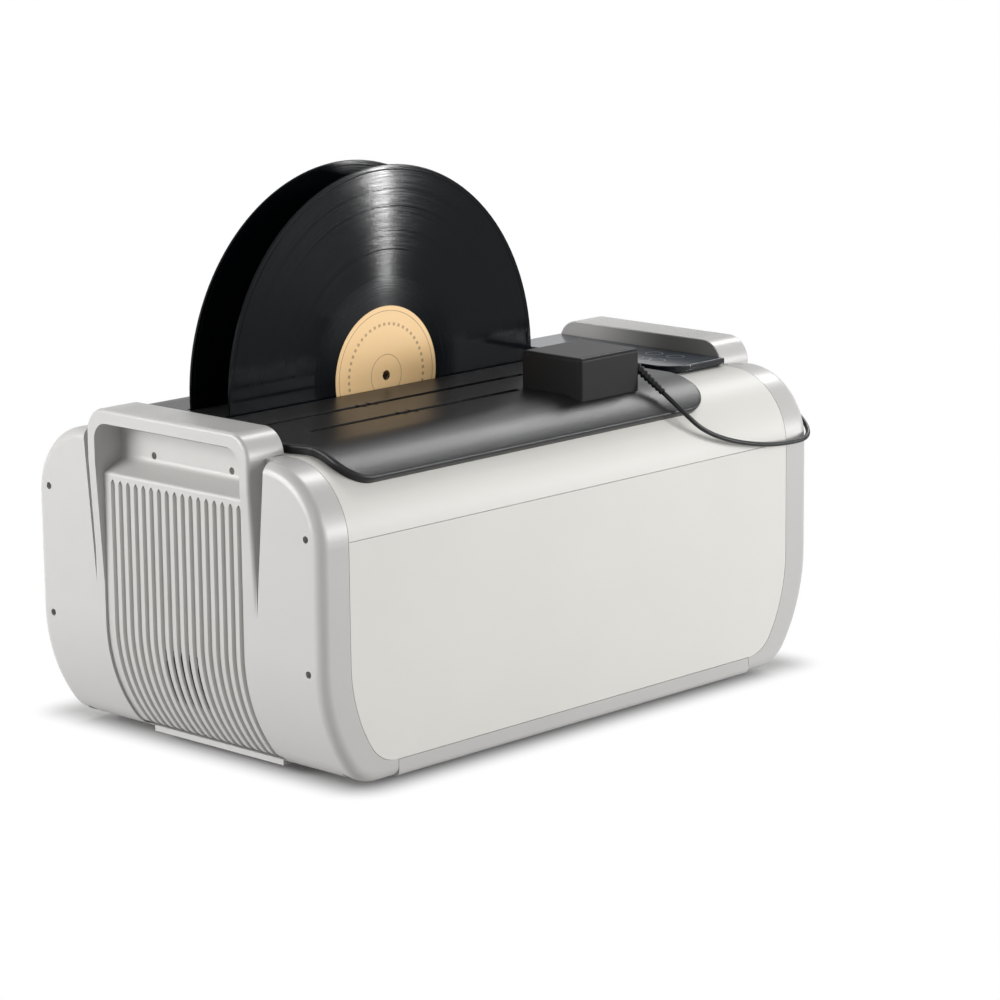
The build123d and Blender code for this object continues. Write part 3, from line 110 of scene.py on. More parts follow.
# The camera stands off the left front corner, a little above the lid.
cameraSetup = {"place": (-1.87507, -1.87857, 0.71661), "yaw": 45.971, "pitch": 12.127, "roll": 0.635,
               "lens": 135.36, "sensor": 36.0, "reach": 50.0}


def makeCamera(setup):
    yaw, pitch, roll = (math.radians(setup[key]) for key in ("yaw", "pitch", "roll"))
    forward = Vector((math.sin(yaw) * math.cos(pitch), math.cos(yaw) * math.cos(pitch), -math.sin(pitch)))
    level = Vector((math.cos(yaw), -math.sin(yaw), 0.0))
    down = forward.cross(level)
    right = level * math.cos(roll) + down * math.sin(roll)
    up = -(down * math.cos(roll) - level * math.sin(roll))
    camera = bpy.data.objects.new("camera", bpy.data.cameras.new("camera"))
    camera.data.lens = setup["lens"]
    camera.data.sensor_width = setup["sensor"]
    camera.data.clip_end = setup["reach"]
    axes = Matrix((right, up, -forward)).transposed().to_4x4()
    camera.matrix_world = Matrix.Translation(setup["place"]) @ axes
    scene.collection.objects.link(camera)
    scene.camera = camera


# Each lamp: the direction it stands in from the body, its distance, width, height and power.
lampAim = (0.0, 0.0, 0.2)
lamps = {
    "key": {"from": (0.69, -0.72, 0.06), "far": 2.7, "size": (0.04, 0.62), "watts": 25.5},
    "front": {"from": (0.42, -1.00, 0.24), "far": 2.9, "size": (1.6, 1.4), "watts": 39.0},
    "top": {"from": (0.69, 0.08, 0.71), "far": 2.6, "size": (0.46, 1.2), "watts": 29.0},
    "left": {"from": (-1.0, 0.50, 0.25), "far": 2.7, "size": (1.6, 1.6), "watts": 77.0},
    "edge": {"from": (-0.80, -0.62, 0.50), "far": 2.8, "size": (0.5, 0.8), "watts": 4.0},
}


def makeLamps():
    for name, lamp in lamps.items():
        data = bpy.data.lights.new(name, "AREA")
        data.shape = "RECTANGLE"
        data.size, data.size_y = lamp["size"]
        data.energy = lamp["watts"]
        light = bpy.data.objects.new(name, data)
        way = Vector(lamp["from"]).normalized()
        light.location = Vector(lampAim) + way * lamp["far"]
        light.rotation_euler = (-way).to_track_quat("-Z", "Y").to_euler()
        scene.collection.objects.link(light)


def seenDirectly(tree):
    path = tree.nodes.new("ShaderNodeLightPath")
    seen = addMath(tree, "MAXIMUM", path.outputs["Is Camera Ray"], path.outputs["Is Glossy Ray"])
    return addMath(tree, "MAXIMUM", seen, path.outputs["Is Transmission Ray"])


# The floor fades to white over fadeEnd, measured outwards from the footprint.
backdrop = {"ambient": 0.29, "white": (1.0, 1.0, 1.0, 1.0), "floorGrey": 0.56, "middle": (0.02, 0.022, 0.0),
            "footprint": (0.215, 0.142, 0.0), "fadeEnd": 0.041, "floorHalf": 8.0}


def makeBackdrop():
    world = bpy.data.worlds.new("studio")
    scene.world = world
    world.use_nodes = True
    tree = world.node_tree
    tree.nodes.clear()
    output = tree.nodes.new("ShaderNodeOutputWorld")
    ambient = tree.nodes.new("ShaderNodeBackground")
    ambient.inputs["Strength"].default_value = backdrop["ambient"]
    seen = tree.nodes.new("ShaderNodeBackground")
    seen.inputs["Color"].default_value = backdrop["white"]
    seen.inputs["Strength"].default_value = 1.0
    mix = tree.nodes.new("ShaderNodeMixShader")
    tree.links.new(seenDirectly(tree), mix.inputs["Fac"])
    tree.links.new(ambient.outputs[0], mix.inputs[1])
    tree.links.new(seen.outputs[0], mix.inputs[2])
    tree.links.new(mix.outputs[0], output.inputs["Surface"])


def makeFloor():
    # Lit near the body, to keep its contact shadow, and plain white further out.
    mesh = bpy.data.meshes.new("floor")
    work = bmesh.new()
    bmesh.ops.create_grid(work, x_segments=1, y_segments=1, size=backdrop["floorHalf"])
    work.to_mesh(mesh)
    work.free()
    floor = bpy.data.objects.new("floor", mesh)
    scene.collection.objects.link(floor)
    material = bpy.data.materials.new("floorWhite")
    material.use_nodes = True
    tree = material.node_tree
    tree.nodes.clear()
    output = tree.nodes.new("ShaderNodeOutputMaterial")
    diffuse = tree.nodes.new("ShaderNodeBsdfDiffuse")
    diffuse.inputs["Color"].default_value = (*[backdrop["floorGrey"]] * 3, 1.0)
    white = tree.nodes.new("ShaderNodeEmission")
    white.inputs["Strength"].default_value = 1.0
    reach = tree.nodes.new("ShaderNodeTexCoord").outputs["Object"]
    for operation, value in (("SUBTRACT", backdrop["middle"]), ("ABSOLUTE", None),
                             ("SUBTRACT", backdrop["footprint"]), ("MAXIMUM", None), ("LENGTH", None)):
        node = tree.nodes.new("ShaderNodeVectorMath")
        node.operation = operation
        if value is not None:
            node.inputs[1].default_value = value
        tree.links.new(reach, node.inputs[0])
        reach = node.outputs["Value" if operation == "LENGTH" else "Vector"]
    fade = addRange(tree, reach, 0.0, backdrop["fadeEnd"], kind="SMOOTHSTEP")
    near = tree.nodes.new("ShaderNodeMixShader")
    tree.links.new(fade, near.inputs["Fac"])
    tree.links.new(diffuse.outputs[0], near.inputs[1])
    tree.links.new(white.outputs[0], near.inputs[2])
    mix = tree.nodes.new("ShaderNodeMixShader")
    tree.links.new(seenDirectly(tree), mix.inputs["Fac"])
    tree.links.new(diffuse.outputs[0], mix.inputs[1])
    tree.links.new(near.outputs[0], mix.inputs[2])
    tree.links.new(mix.outputs[0], output.inputs["Surface"])
    mesh.materials.append(material)


makeCamera(cameraSetup)
makeLamps()
makeBackdrop()
makeFloor()
scene.view_settings.view_transform = "Standard"
print("stage ready")


# Two shared finishes. What each material sets on them is listed further down.
plainGrey = (0.5, 0.5, 0.5, 1.0)


def newGroup(name, inputs):
    group = bpy.data.node_groups.new(name, "ShaderNodeTree")
    for label, kind, value in inputs:
        socket = group.interface.new_socket(name=label, in_out="INPUT", socket_type=kind)
        socket.default_value = value
    for label, kind in (("Color", "NodeSocketColor"), ("Roughness", "NodeSocketFloat"),
                        ("Height", "NodeSocketFloat")):
        group.interface.new_socket(name=label, in_out="OUTPUT", socket_type=kind)
    return group, group.nodes.new("NodeGroupInput").outputs, group.nodes.new("NodeGroupOutput").inputs


grainLook = {"detail": 3.0, "broadScale": 14.0, "broadDetail": 4.0}


def moulded():
    # Fine moulded grain, with a slow change of tint and gloss over the surface.
    group, start, end = newGroup("mouldedGrain", [
        ("Low", "NodeSocketColor", plainGrey), ("High", "NodeSocketColor", plainGrey),
        ("Scale", "NodeSocketFloat", 900.0), ("Roughness", "NodeSocketFloat", 0.4),
        ("Variation", "NodeSocketFloat", 0.08)])
    place = group.nodes.new("ShaderNodeTexCoord").outputs["Object"]
    fine = addNoise(group, place, start["Scale"], grainLook["detail"])
    broad = addNoise(group, place, grainLook["broadScale"], grainLook["broadDetail"])
    swing = addMath(group, "MULTIPLY", addMath(group, "SUBTRACT", broad, 0.5), start["Variation"])
    group.links.new(fine, end["Height"])
    group.links.new(addMath(group, "ADD", start["Roughness"], swing), end["Roughness"])
    group.links.new(addMix(group, broad, start["Low"], start["High"]), end["Color"])
    return group


brushLook = {"detail": 2.0, "swing": 0.14}


def brushed():
    # Scratches drawn out along one axis.
    group, start, end = newGroup("brushedLines", [
        ("Low", "NodeSocketColor", plainGrey), ("High", "NodeSocketColor", plainGrey),
        ("Stretch", "NodeSocketVector", (4.0, 900.0, 900.0)), ("Roughness", "NodeSocketFloat", 0.3)])
    place = group.nodes.new("ShaderNodeTexCoord")
    scale = group.nodes.new("ShaderNodeVectorMath")
    scale.operation = "MULTIPLY"
    group.links.new(place.outputs["Object"], scale.inputs[0])
    group.links.new(start["Stretch"], scale.inputs[1])
    lines = addNoise(group, scale.outputs[0], 1.0, brushLook["detail"])
    swing = addMath(group, "MULTIPLY", addMath(group, "SUBTRACT", lines, 0.5), brushLook["swing"])
    group.links.new(lines, end["Height"])
    group.links.new(addMath(group, "ADD", start["Roughness"], swing), end["Roughness"])
    group.links.new(addMix(group, lines, start["Low"], start["High"]), end["Color"])
    return group


groups = {"moulded": moulded(), "brushed": brushed()}
print("shader groups", len(groups))


def newMaterial(name, settings):
    material = bpy.data.materials.new(name)
    material.use_nodes = True
    shader = material.node_tree.nodes["Principled BSDF"]
    for label, value in settings.items():
        shader.inputs[label].default_value = value
    return material, material.node_tree, shader


def addBump(tree, shader, height, strength, depth, below=None):
    bump = tree.nodes.new("ShaderNodeBump")
    bump.inputs["Strength"].default_value = strength
    bump.inputs["Distance"].default_value = depth * mm
    tree.links.new(height, bump.inputs["Height"])
    if below is not None:
        tree.links.new(below.outputs["Normal"], bump.inputs["Normal"])
    tree.links.new(bump.outputs["Normal"], shader.inputs["Normal"])
    return bump


def grouped(name, group, inputs, bump, settings):
    material, tree, shader = newMaterial(name, settings)
    holder = tree.nodes.new("ShaderNodeGroup")
    holder.node_tree = groups[group]
    for label, value in inputs.items():
        holder.inputs[label].default_value = value
    tree.links.new(holder.outputs["Color"], shader.inputs["Base Color"])
    tree.links.new(holder.outputs["Roughness"], shader.inputs["Roughness"])
    first = addBump(tree, shader, holder.outputs["Height"], *bump)
    return material, tree, shader, holder, first


plastics = {
    "coverWhite": {"low": (205, 204, 199), "high": (210, 209, 204), "rough": 0.46, "variation": 0.05,
                   "scale": 1500.0, "bump": (0.05, 0.2), "settings": {"Specular IOR Level": 0.35}},
    "housingBlack": {"low": (29, 29, 30), "high": (33, 33, 34), "rough": 0.38, "variation": 0.05,
                     "scale": 1300.0, "bump": (0.10, 0.25), "settings": {"Specular IOR Level": 0.08}},
    "partBlack": {"low": (26, 26, 27), "high": (33, 33, 34), "rough": 0.48, "variation": 0.1,
                  "scale": 900.0, "bump": (0.15, 0.3), "settings": {"Specular IOR Level": 0.4}},
    "linerGrey": {"low": (134, 133, 131), "high": (142, 141, 139), "rough": 0.55, "variation": 0.08,
                  "scale": 1100.0, "bump": (0.2, 0.3), "settings": {"Specular IOR Level": 0.3}},
    "footRubber": {"low": (24, 24, 24), "high": (34, 34, 34), "rough": 0.7, "variation": 0.1,
                   "scale": 500.0, "bump": (0.3, 0.4), "settings": {"Specular IOR Level": 0.3}},
    "gearNylon": {"low": (222, 217, 204), "high": (232, 228, 216), "rough": 0.45, "variation": 0.08,
                  "scale": 700.0, "bump": (0.1, 0.3), "settings": {}},
    "boardGreen": {"low": (22, 82, 48), "high": (30, 98, 58), "rough": 0.35, "variation": 0.1,
                   "scale": 400.0, "bump": (0.2, 0.3), "settings": {}},
    "leadBlack": {"low": (14, 15, 17), "high": (20, 21, 23), "rough": 0.34, "variation": 0.08,
                  "scale": 1200.0, "bump": (0.1, 0.2), "settings": {"Specular IOR Level": 0.25}},
}
metals = {
    "tankSteel": {"low": (176, 177, 176), "high": (196, 197, 196), "rough": 0.28,
                  "stretch": (900.0, 900.0, 5.0)},
    "plateSteel": {"low": (168, 170, 170), "high": (190, 191, 191), "rough": 0.30,
                   "stretch": (5.0, 900.0, 900.0)},
    "zincSheet": {"low": (170, 173, 178), "high": (192, 194, 198), "rough": 0.42,
                  "stretch": (60.0, 60.0, 60.0)},
    "castAluminium": {"low": (180, 181, 184), "high": (200, 201, 204), "rough": 0.40,
                      "stretch": (300.0, 300.0, 300.0)},
    "platedBrass": {"low": (190, 158, 96), "high": (208, 178, 118), "rough": 0.26,
                    "stretch": (200.0, 200.0, 200.0)},
    "screwSteel": {"low": (70, 66, 62), "high": (96, 92, 86), "rough": 0.34,
                   "stretch": (400.0, 400.0, 400.0)},
}
metalBump = (0.06, 0.2)


def plastic(name, look):
    inputs = {"Low": srgb(*look["low"]), "High": srgb(*look["high"]), "Scale": look["scale"],
              "Roughness": look["rough"], "Variation": look["variation"]}
    return grouped(name, "moulded", inputs, look["bump"], look["settings"])


materials = {name: plastic(name, look)[0] for name, look in plastics.items()}
for name, look in metals.items():
    inputs = {"Low": srgb(*look["low"]), "High": srgb(*look["high"]), "Stretch": look["stretch"],
              "Roughness": look["rough"]}
    materials[name] = grouped(name, "brushed", inputs, metalBump, {"Metallic": 1.0})[0]
print("shared finishes", len(materials))


# The end caps: painted shade at the groove bottoms and inside the vents, and a pitted grip along the top of
# each handle.
capLook = {"low": (177, 176, 174), "high": (183, 182, 180), "rough": 0.32, "variation": 0.06,
           "scale": 1800.0, "bump": (0.08, 0.2), "settings": {}}
shadeLook = {"pitch": 8.0, "half": 1.2, "soft": 0.6, "low": 14.0, "high": 192.0, "side": 68.0,
             "inner": 200.0, "outer": 250.0, "dark": (150, 147, 143)}
ventShadeLook = {"centre": (127.0, 92.0), "radius": 118.2, "side": 19.0, "low": 40.0, "high": 80.0,
            "dark": (14, 14, 14)}
gripLook = {"pitch": 2.4, "half": 57.0, "inner": 225.0, "outer": 250.0, "drop": 1.2, "strength": 0.3,
            "depth": 0.5}


def bandMask(tree, value, low, high):
    above = addMath(tree, "GREATER_THAN", value, low)
    return addMath(tree, "MULTIPLY", above, addMath(tree, "LESS_THAN", value, high))


def groovePaintedShade(tree, across, along, height):
    # Painted shade over the deep part of each groove between the ribs.
    side = addMath(tree, "PINGPONG", along, shadeLook["pitch"] / 2 * mm)
    deep = addRange(tree, side, (shadeLook["half"] + shadeLook["soft"]) * mm,
                    (shadeLook["half"] - shadeLook["soft"]) * mm, kind="SMOOTHSTEP")
    mask = addMath(tree, "MULTIPLY", deep, addMath(tree, "LESS_THAN", along, shadeLook["side"] * mm))
    for value, low, high in ((height, "low", "high"), (across, "inner", "outer")):
        mask = addMath(tree, "MULTIPLY", mask,
                       bandMask(tree, value, shadeLook[low] * mm, shadeLook[high] * mm))
    return mask


def ventPaintedShade(tree, across, along, height):
    # Painted shade: near black inside the vents, behind the curve on which the grooves end.
    x, z = ventShadeLook["centre"]
    x = addMath(tree, "SUBTRACT", across, x * mm)
    z = addMath(tree, "SUBTRACT", height, z * mm)
    square = addMath(tree, "ADD", addMath(tree, "MULTIPLY", x, x), addMath(tree, "MULTIPLY", z, z))
    mask = addMath(tree, "LESS_THAN", square, (ventShadeLook["radius"] * mm) ** 2)
    mask = addMath(tree, "MULTIPLY", mask,
                   bandMask(tree, height, ventShadeLook["low"] * mm, ventShadeLook["high"] * mm))
    return addMath(tree, "MULTIPLY", mask, addMath(tree, "LESS_THAN", along, ventShadeLook["side"] * mm))


def capGrey():
    material, tree, shader, holder, grain = plastic("capGrey", capLook)
    split = addAxes(tree)[1]
    across = addMath(tree, "ABSOLUTE", split.outputs["X"])
    along = addMath(tree, "ABSOLUTE", split.outputs["Y"])
    height = split.outputs["Z"]
    # Painted shade: the groove bottoms are mixed towards shadeLook's dark colour.
    colour = addMix(tree, groovePaintedShade(tree, across, along, height), holder.outputs["Color"],
                    srgb(*shadeLook["dark"]))
    # Painted shade: the vent insides are mixed to near black.
    colour = addMix(tree, ventPaintedShade(tree, across, along, height), colour, srgb(*ventShadeLook["dark"]))
    tree.links.new(colour, shader.inputs["Base Color"])
    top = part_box("right_end_cap")[1][2]
    mask = addMath(tree, "MULTIPLY", bandMask(tree, across, gripLook["inner"] * mm, gripLook["outer"] * mm),
                   addMath(tree, "LESS_THAN", along, gripLook["half"] * mm))
    mask = addMath(tree, "MULTIPLY", mask,
                   addMath(tree, "GREATER_THAN", height, top - gripLook["drop"] * mm))
    pace = 2 * math.pi / (gripLook["pitch"] * mm)
    waves = [addMath(tree, "SINE", addMath(tree, "MULTIPLY", split.outputs[axis], pace)) for axis in "XY"]
    pits = addMath(tree, "MULTIPLY", addMath(tree, "MULTIPLY", *waves), mask)
    addBump(tree, shader, pits, gripLook["strength"], gripLook["depth"], grain)
    return material


# The lid has small pointed marks beside two slots, where smaller records centre.
lidLook = {"low": (20, 20, 21), "high": (25, 25, 26), "rough": 0.36, "variation": 0.05, "scale": 1050.0,
           "bump": (0.5, 0.3), "settings": {"Specular IOR Level": 0.30}}
notchLook = {"x": (-91.0, -80.0), "half": 2.6, "reach": 7.5, "slots": (-20.0, -60.0), "dark": (2, 2, 2),
             "rough": 0.64, "bump": (0.6, 0.6)}


def lidBlack():
    material, tree, shader, holder, grain = plastic("lidBlack", lidLook)
    split = addAxes(tree)[1]
    mask = None
    for slot in notchLook["slots"]:
        away = addMath(tree, "ABSOLUTE", addMath(tree, "SUBTRACT", split.outputs["Y"], slot * mm))
        for x in notchLook["x"]:
            side = addMath(tree, "ABSOLUTE", addMath(tree, "SUBTRACT", split.outputs["X"], x * mm))
            lean = addMath(tree, "MULTIPLY_ADD", side, notchLook["reach"] / notchLook["half"], away)
            mark = addMath(tree, "LESS_THAN", lean, notchLook["reach"] * mm)
            mask = mark if mask is None else addMath(tree, "MAXIMUM", mask, mark)
    colour = addMix(tree, mask, srgb(*lidLook["low"]), srgb(*notchLook["dark"]))
    tree.links.new(colour, shader.inputs["Base Color"])
    rough = addMath(tree, "MULTIPLY_ADD", mask, notchLook["rough"], holder.outputs["Roughness"])
    tree.links.new(rough, shader.inputs["Roughness"])
    addBump(tree, shader, addMath(tree, "SUBTRACT", 1.0, mask), *notchLook["bump"], grain)
    return material


# The control panel is deep gloss with a darker rim; its upward face is painted lighter, a painted reflection,
# and it has thin rings at its touch points.
panelLook = {"face": (62, 68, 76), "rim": (18, 21, 26), "ring": (150, 158, 166), "radius": 6.4, "line": 0.34,
             "dust": (260.0, 3.0), "haze": (0.05, 0.18), "level": 0.8,
             "settings": {"Coat Weight": 0.25, "Coat Roughness": 0.08, "Specular IOR Level": 0.14},
             "points": ((201.0, -34.0), (201.0, -55.0), (180.0, -55.0), (178.0, -43.0), (180.0, -34.0))}


def panelGloss():
    material, tree, shader = newMaterial("panelGloss", panelLook["settings"])
    place, split = addAxes(tree)
    rings = None
    for x, y in panelLook["points"]:
        reach = tree.nodes.new("ShaderNodeVectorMath")
        reach.operation = "DISTANCE"
        flat = tree.nodes.new("ShaderNodeCombineXYZ")
        tree.links.new(split.outputs["X"], flat.inputs["X"])
        tree.links.new(split.outputs["Y"], flat.inputs["Y"])
        tree.links.new(flat.outputs[0], reach.inputs[0])
        reach.inputs[1].default_value = (x * mm, y * mm, 0.0)
        away = addMath(tree, "ABSOLUTE", addMath(tree, "SUBTRACT", reach.outputs["Value"],
                                                 panelLook["radius"] * mm))
        line = addMath(tree, "LESS_THAN", away, panelLook["line"] * mm)
        rings = line if rings is None else addMath(tree, "MAXIMUM", rings, line)
    dust = addNoise(tree, place, *panelLook["dust"])
    tree.links.new(addMath(tree, "MULTIPLY_ADD", dust, *panelLook["haze"]), shader.inputs["Roughness"])
    # Painted reflection: faces pointing up take the lighter face colour, the sides the rim colour.
    shape = tree.nodes.new("ShaderNodeNewGeometry")
    facing = tree.nodes.new("ShaderNodeSeparateXYZ")
    tree.links.new(shape.outputs["True Normal"], facing.inputs[0])
    upward = addMath(tree, "GREATER_THAN", facing.outputs["Z"], panelLook["level"])
    face = addMix(tree, upward, srgb(*panelLook["rim"]), srgb(*panelLook["face"]))
    tree.links.new(addMix(tree, rings, face, srgb(*panelLook["ring"])), shader.inputs["Base Color"])
    return material


def discPlace(tree):
    # Distance from the spindle, in metres, and the angle round it.
    place, split = addAxes(tree)
    low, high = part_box("front_record")
    x = addMath(tree, "SUBTRACT", split.outputs["X"], (low[0] + high[0]) / 2)
    z = addMath(tree, "SUBTRACT", split.outputs["Z"], (low[2] + high[2]) / 2)
    square = addMath(tree, "ADD", addMath(tree, "MULTIPLY", x, x), addMath(tree, "MULTIPLY", z, z))
    return place, addMath(tree, "SQRT", square), addMath(tree, "ARCTAN2", z, x)


vinylLook = {"low": (5, 8, 12), "high": (9, 12, 16), "grooves": 5600.0, "bands": 300.0, "rough": 0.07,
             "swing": 0.145, "level": (0.35, 0.65), "bump": 0.04, "depth": 0.02, "wander": 14.0,
             "settings": {"Anisotropic": 1.0, "Anisotropic Rotation": 0.25, "Specular IOR Level": 0.1},
             "bandDetail": 1.0, "detail": 2.0,
             "jag": (330.0, 4.0, 0.8, 0.06),            # scales out and round, strength, depth
             "dull": ((56.0, 0.22), (76.0, 0.0)),       # added roughness at two distances from the spindle
             "gaps": (72.0, 90.5, 104.0, 121.0, 133.5), "gapHalf": 0.5, "gapRough": -0.08}


def recordVinyl():
    material, tree, shader = newMaterial("recordVinyl", vinylLook["settings"])
    place, radius, turn = discPlace(tree)
    rings = addMath(tree, "SINE", addMath(tree, "MULTIPLY", radius, vinylLook["grooves"]))
    band = tree.nodes.new("ShaderNodeTexNoise")
    band.noise_dimensions = "1D"
    band.inputs["Detail"].default_value = vinylLook["bandDetail"]
    drift = addNoise(tree, place, vinylLook["wander"], vinylLook["detail"])
    tree.links.new(addMath(tree, "ADD", addMath(tree, "MULTIPLY", radius, vinylLook["bands"]), drift),
                   band.inputs["W"])
    quiet = None
    for gap in vinylLook["gaps"]:
        away = addMath(tree, "ABSOLUTE", addMath(tree, "SUBTRACT", radius, gap * mm))
        line = addMath(tree, "LESS_THAN", away, vinylLook["gapHalf"] * mm)
        quiet = line if quiet is None else addMath(tree, "MAXIMUM", quiet, line)
    height = addMath(tree, "MULTIPLY", addMath(tree, "MULTIPLY", rings, band.outputs["Fac"]),
                     addMath(tree, "SUBTRACT", 1.0, quiet))
    fine = addBump(tree, shader, height, vinylLook["bump"], vinylLook["depth"])
    tight, wide, strength, depth = vinylLook["jag"]
    polar = tree.nodes.new("ShaderNodeCombineXYZ")
    tree.links.new(addMath(tree, "MULTIPLY", radius, tight), polar.inputs["X"])
    tree.links.new(addMath(tree, "MULTIPLY", turn, wide), polar.inputs["Y"])
    scuffs = addNoise(tree, polar.outputs[0], 1.0, vinylLook["detail"])
    addBump(tree, shader, scuffs, strength, depth, fine)
    level = addRange(tree, band.outputs["Fac"], *vinylLook["level"])
    rough = addMath(tree, "MULTIPLY_ADD", level, vinylLook["swing"], vinylLook["rough"])
    (inner, most), (outer, least) = vinylLook["dull"]
    rough = addMath(tree, "ADD", rough, addRange(tree, radius, inner * mm, outer * mm, most, least))
    tree.links.new(addMath(tree, "MULTIPLY_ADD", quiet, vinylLook["gapRough"], rough),
                   shader.inputs["Roughness"])
    around = tree.nodes.new("ShaderNodeTangent")
    around.direction_type = "RADIAL"
    around.axis = "Y"
    tree.links.new(around.outputs[0], shader.inputs["Tangent"])
    tree.links.new(addMix(tree, band.outputs["Fac"], srgb(*vinylLook["low"]), srgb(*vinylLook["high"])),
                   shader.inputs["Base Color"])
    return material


labelLook = {"paper": (255, 218, 160), "deep": (252, 208, 148), "ink": (122, 84, 52), "fibres": 60.0,
             "detail": 5.0, "rings": ((46.5, 0.3), (15.0, 0.3)), "dots": (37.0, 1.1, 48.0), "gap": 0.1,
             "shade": 0.6, "rough": 0.5, "bump": (0.1, 0.2)}


def labelPaper():
    material, tree, shader = newMaterial("labelPaper", {"Roughness": labelLook["rough"]})
    place, radius, turn = discPlace(tree)

    def ring(middle, half):
        away = addMath(tree, "ABSOLUTE", addMath(tree, "SUBTRACT", radius, middle * mm))
        return addMath(tree, "LESS_THAN", away, half * mm)

    middle, half, count = labelLook["dots"]
    wave = addMath(tree, "SINE", addMath(tree, "MULTIPLY", turn, count))
    dots = addMath(tree, "GREATER_THAN", wave, labelLook["gap"])
    ink = addMath(tree, "MULTIPLY", dots, ring(middle, half))
    for middle, half in labelLook["rings"]:
        ink = addMath(tree, "MAXIMUM", ink, ring(middle, half))
    fibres = addNoise(tree, place, labelLook["fibres"], labelLook["detail"])
    paper = addMix(tree, fibres, srgb(*labelLook["deep"]), srgb(*labelLook["paper"]))
    colour = addMix(tree, addMath(tree, "MULTIPLY", ink, labelLook["shade"]), paper, srgb(*labelLook["ink"]))
    tree.links.new(colour, shader.inputs["Base Color"])
    addBump(tree, shader, fibres, *labelLook["bump"])
    return material


materials["capGrey"] = capGrey()
materials["lidBlack"] = lidBlack()
materials["panelGloss"] = panelGloss()
materials["recordVinyl"] = recordVinyl()
materials["labelPaper"] = labelPaper()
print("finishes", len(materials))

dressing = {
    "capGrey": ["right_end_cap", "left_end_cap", "base_pan"],
    "linerGrey": ["handle_liners"],
    "coverWhite": ["top_cover", "front_panel", "rear_panel"],
    "lidBlack": ["lid_deck"],
    "housingBlack": ["motor_housing"],
    "panelGloss": ["control_panel"],
    "recordVinyl": ["front_record", "rear_record"],
    "labelPaper": ["front_labels", "rear_labels"],
    "partBlack": ["dc_plug", "dc_jack", "drain_lever", "mains_inlet", "switch_bezel", "switch_rocker",
                  "fan_frame", "fan_rotor"],
    "footRubber": ["feet", "tank_seal", "lp_drive_wheels", "ten_drive_wheel", "seven_drive_wheel",
                   "lp_idler_wheels", "ten_idler_wheel", "seven_idler_wheel"],
    "gearNylon": ["lp_gear", "ten_gear", "seven_gear", "middle_gear", "shaft_bushes", "board_posts"],
    "boardGreen": ["generator_board", "touch_board"],
    "leadBlack": ["lead_lid", "lead_body", "lead_relief"],
    "tankSteel": ["tank"],
    "plateSteel": ["front_hanger", "middle_hanger", "back_hanger", "tie_rods", "lp_drive_shaft",
                   "ten_drive_shaft", "seven_drive_shaft", "lp_idler_shaft", "ten_idler_shaft",
                   "seven_idler_shaft"],
    "zincSheet": ["right_end_frame", "left_end_frame", "drive_motor"],
    "castAluminium": ["transducers", "board_parts"],
    "platedBrass": ["drain_valve", "motor_pinion"],
    "screwSteel": ["end_cap_screws"],
}
for name, members in dressing.items():
    for member in members:
        mesh = nodes[member].data
        mesh.materials.clear()
        mesh.materials.append(materials[name])
dressed = {member for members in dressing.values() for member in members}
print("dressed nodes", len(dressed), "undressed", sorted(set(nodes) - dressed))


def addObject(name, work, material):
    mesh = bpy.data.meshes.new(name)
    bmesh.ops.recalc_face_normals(work, faces=work.faces)
    work.to_mesh(mesh)
    work.free()
    mesh.materials.append(materials[material])
    piece = bpy.data.objects.new(name, mesh)
    scene.collection.objects.link(piece)
    return piece


def ringAt(work, middle, side, other, radius, segments):
    turns = [2 * math.pi * step / segments for step in range(segments)]
    return [work.verts.new(middle + (side * math.cos(turn) + other * math.sin(turn)) * radius)
            for turn in turns]


def joinRings(work, rings, smooth):
    for first, second in zip(rings, rings[1:]):
        for index, corner in enumerate(first):
            after = (index + 1) % len(first)
            face = work.faces.new((corner, first[after], second[after], second[index]))
            face.smooth = smooth
    work.faces.new(list(reversed(rings[0])))
    work.faces.new(rings[-1])


# The lead leaves the relief, hangs along the front of the body and turns into its plug.
leadRoute = [
    (105.5, -127.0, 226.5), (111.2, -142.0, 212.6), (126.5, -147.6, 197.5), (158.0, -149.8, 185.0),
    (204.0, -150.0, 175.7), (257.0, -150.0, 175.7), (257.0, -115.7, 196.3)]
leadLook = {"diameter": 3.5, "segments": 12, "steps": 24, "bodyEnd": (235.0, -150.0, 176.0),
            "lidEnd": (160.0, -150.0, 185.0)}


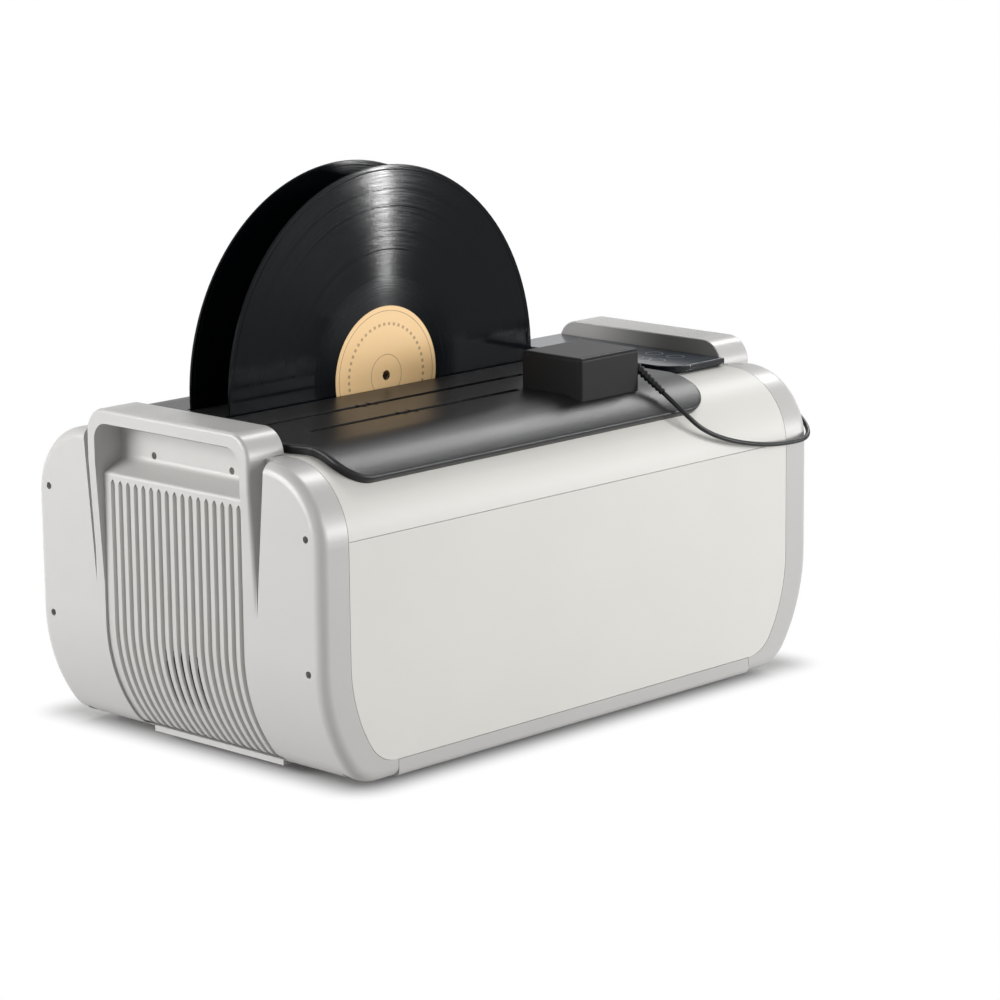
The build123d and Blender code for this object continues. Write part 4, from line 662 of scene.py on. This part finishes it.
def makeLead(route, look):
    curve = bpy.data.curves.new("leadRoute", "CURVE")
    curve.dimensions = "3D"
    spline = curve.splines.new("NURBS")
    spline.points.add(len(route) - 1)
    for point, place in zip(spline.points, route):
        point.co = (*(Vector(place) * mm), 1.0)
    spline.order_u = 3
    spline.use_endpoint_u = True
    spline.resolution_u = look["steps"]
    helper = bpy.data.objects.new("leadRoute", curve)
    line = bpy.data.meshes.new_from_object(helper)
    path = [vertex.co.copy() for vertex in line.vertices]
    bpy.data.objects.remove(helper)
    work = bmesh.new()
    rings = []
    side = Vector((0.0, 0.0, 1.0))
    for index, here in enumerate(path):
        ahead = path[min(index + 1, len(path) - 1)] - path[max(index - 1, 0)]
        ahead.normalize()
        side = (side - ahead * side.dot(ahead)).normalized()
        rings.append(ringAt(work, here, side, ahead.cross(side), look["diameter"] * mm / 2,
                            look["segments"]))
    joinRings(work, rings, True)
    lead = addObject("lead", work, "leadBlack")
    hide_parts("lead_lid", "lead_body")
    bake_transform(lead)


makeLead(leadRoute, leadLook)

# The relief is a ribbed sleeve from the housing's wall to the start of the lead. Each entry of rib
# is a share of one rib's length and the sleeve's relative width there.
reliefLook = {"foot": (10.2, 9.6), "length": 34.2, "root": 3.0, "thick": 3.9, "thin": 2.5, "ribs": 8,
              "rib": ((0.12, 0.76), (0.42, 0.76), (0.52, 1.0), (0.98, 1.0)), "ribStart": 0.16, "segments": 20}


def makeRelief(look):
    low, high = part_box("motor_housing")
    side, drop = look["foot"]
    foot = Vector((high[0], low[1] + side * mm, high[2] - drop * mm))
    way = (Vector(leadRoute[1]) - Vector(leadRoute[0])).normalized()
    across = way.cross(Vector((0.0, 0.0, 1.0))).normalized()
    upward = across.cross(way)
    stations = [(-look["root"] / look["length"], 1.0), (look["ribStart"], 1.0)]
    pitch = (1.0 - look["ribStart"]) / look["ribs"]
    for index in range(look["ribs"]):
        start = look["ribStart"] + index * pitch
        stations += [(start + along * pitch, waist) for along, waist in look["rib"]]
    work = bmesh.new()
    rings = []
    for share, waist in stations:
        radius = (look["thick"] + (look["thin"] - look["thick"]) * max(share, 0.0)) * mm * waist
        here = foot + way * look["length"] * mm * share
        rings.append(ringAt(work, here, across, upward, radius, look["segments"]))
    joinRings(work, rings, False)
    relief = addObject("lead_sleeve", work, "leadBlack")
    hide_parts("lead_relief")
    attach(relief, "lid")


makeRelief(reliefLook)
print("lead and relief made")
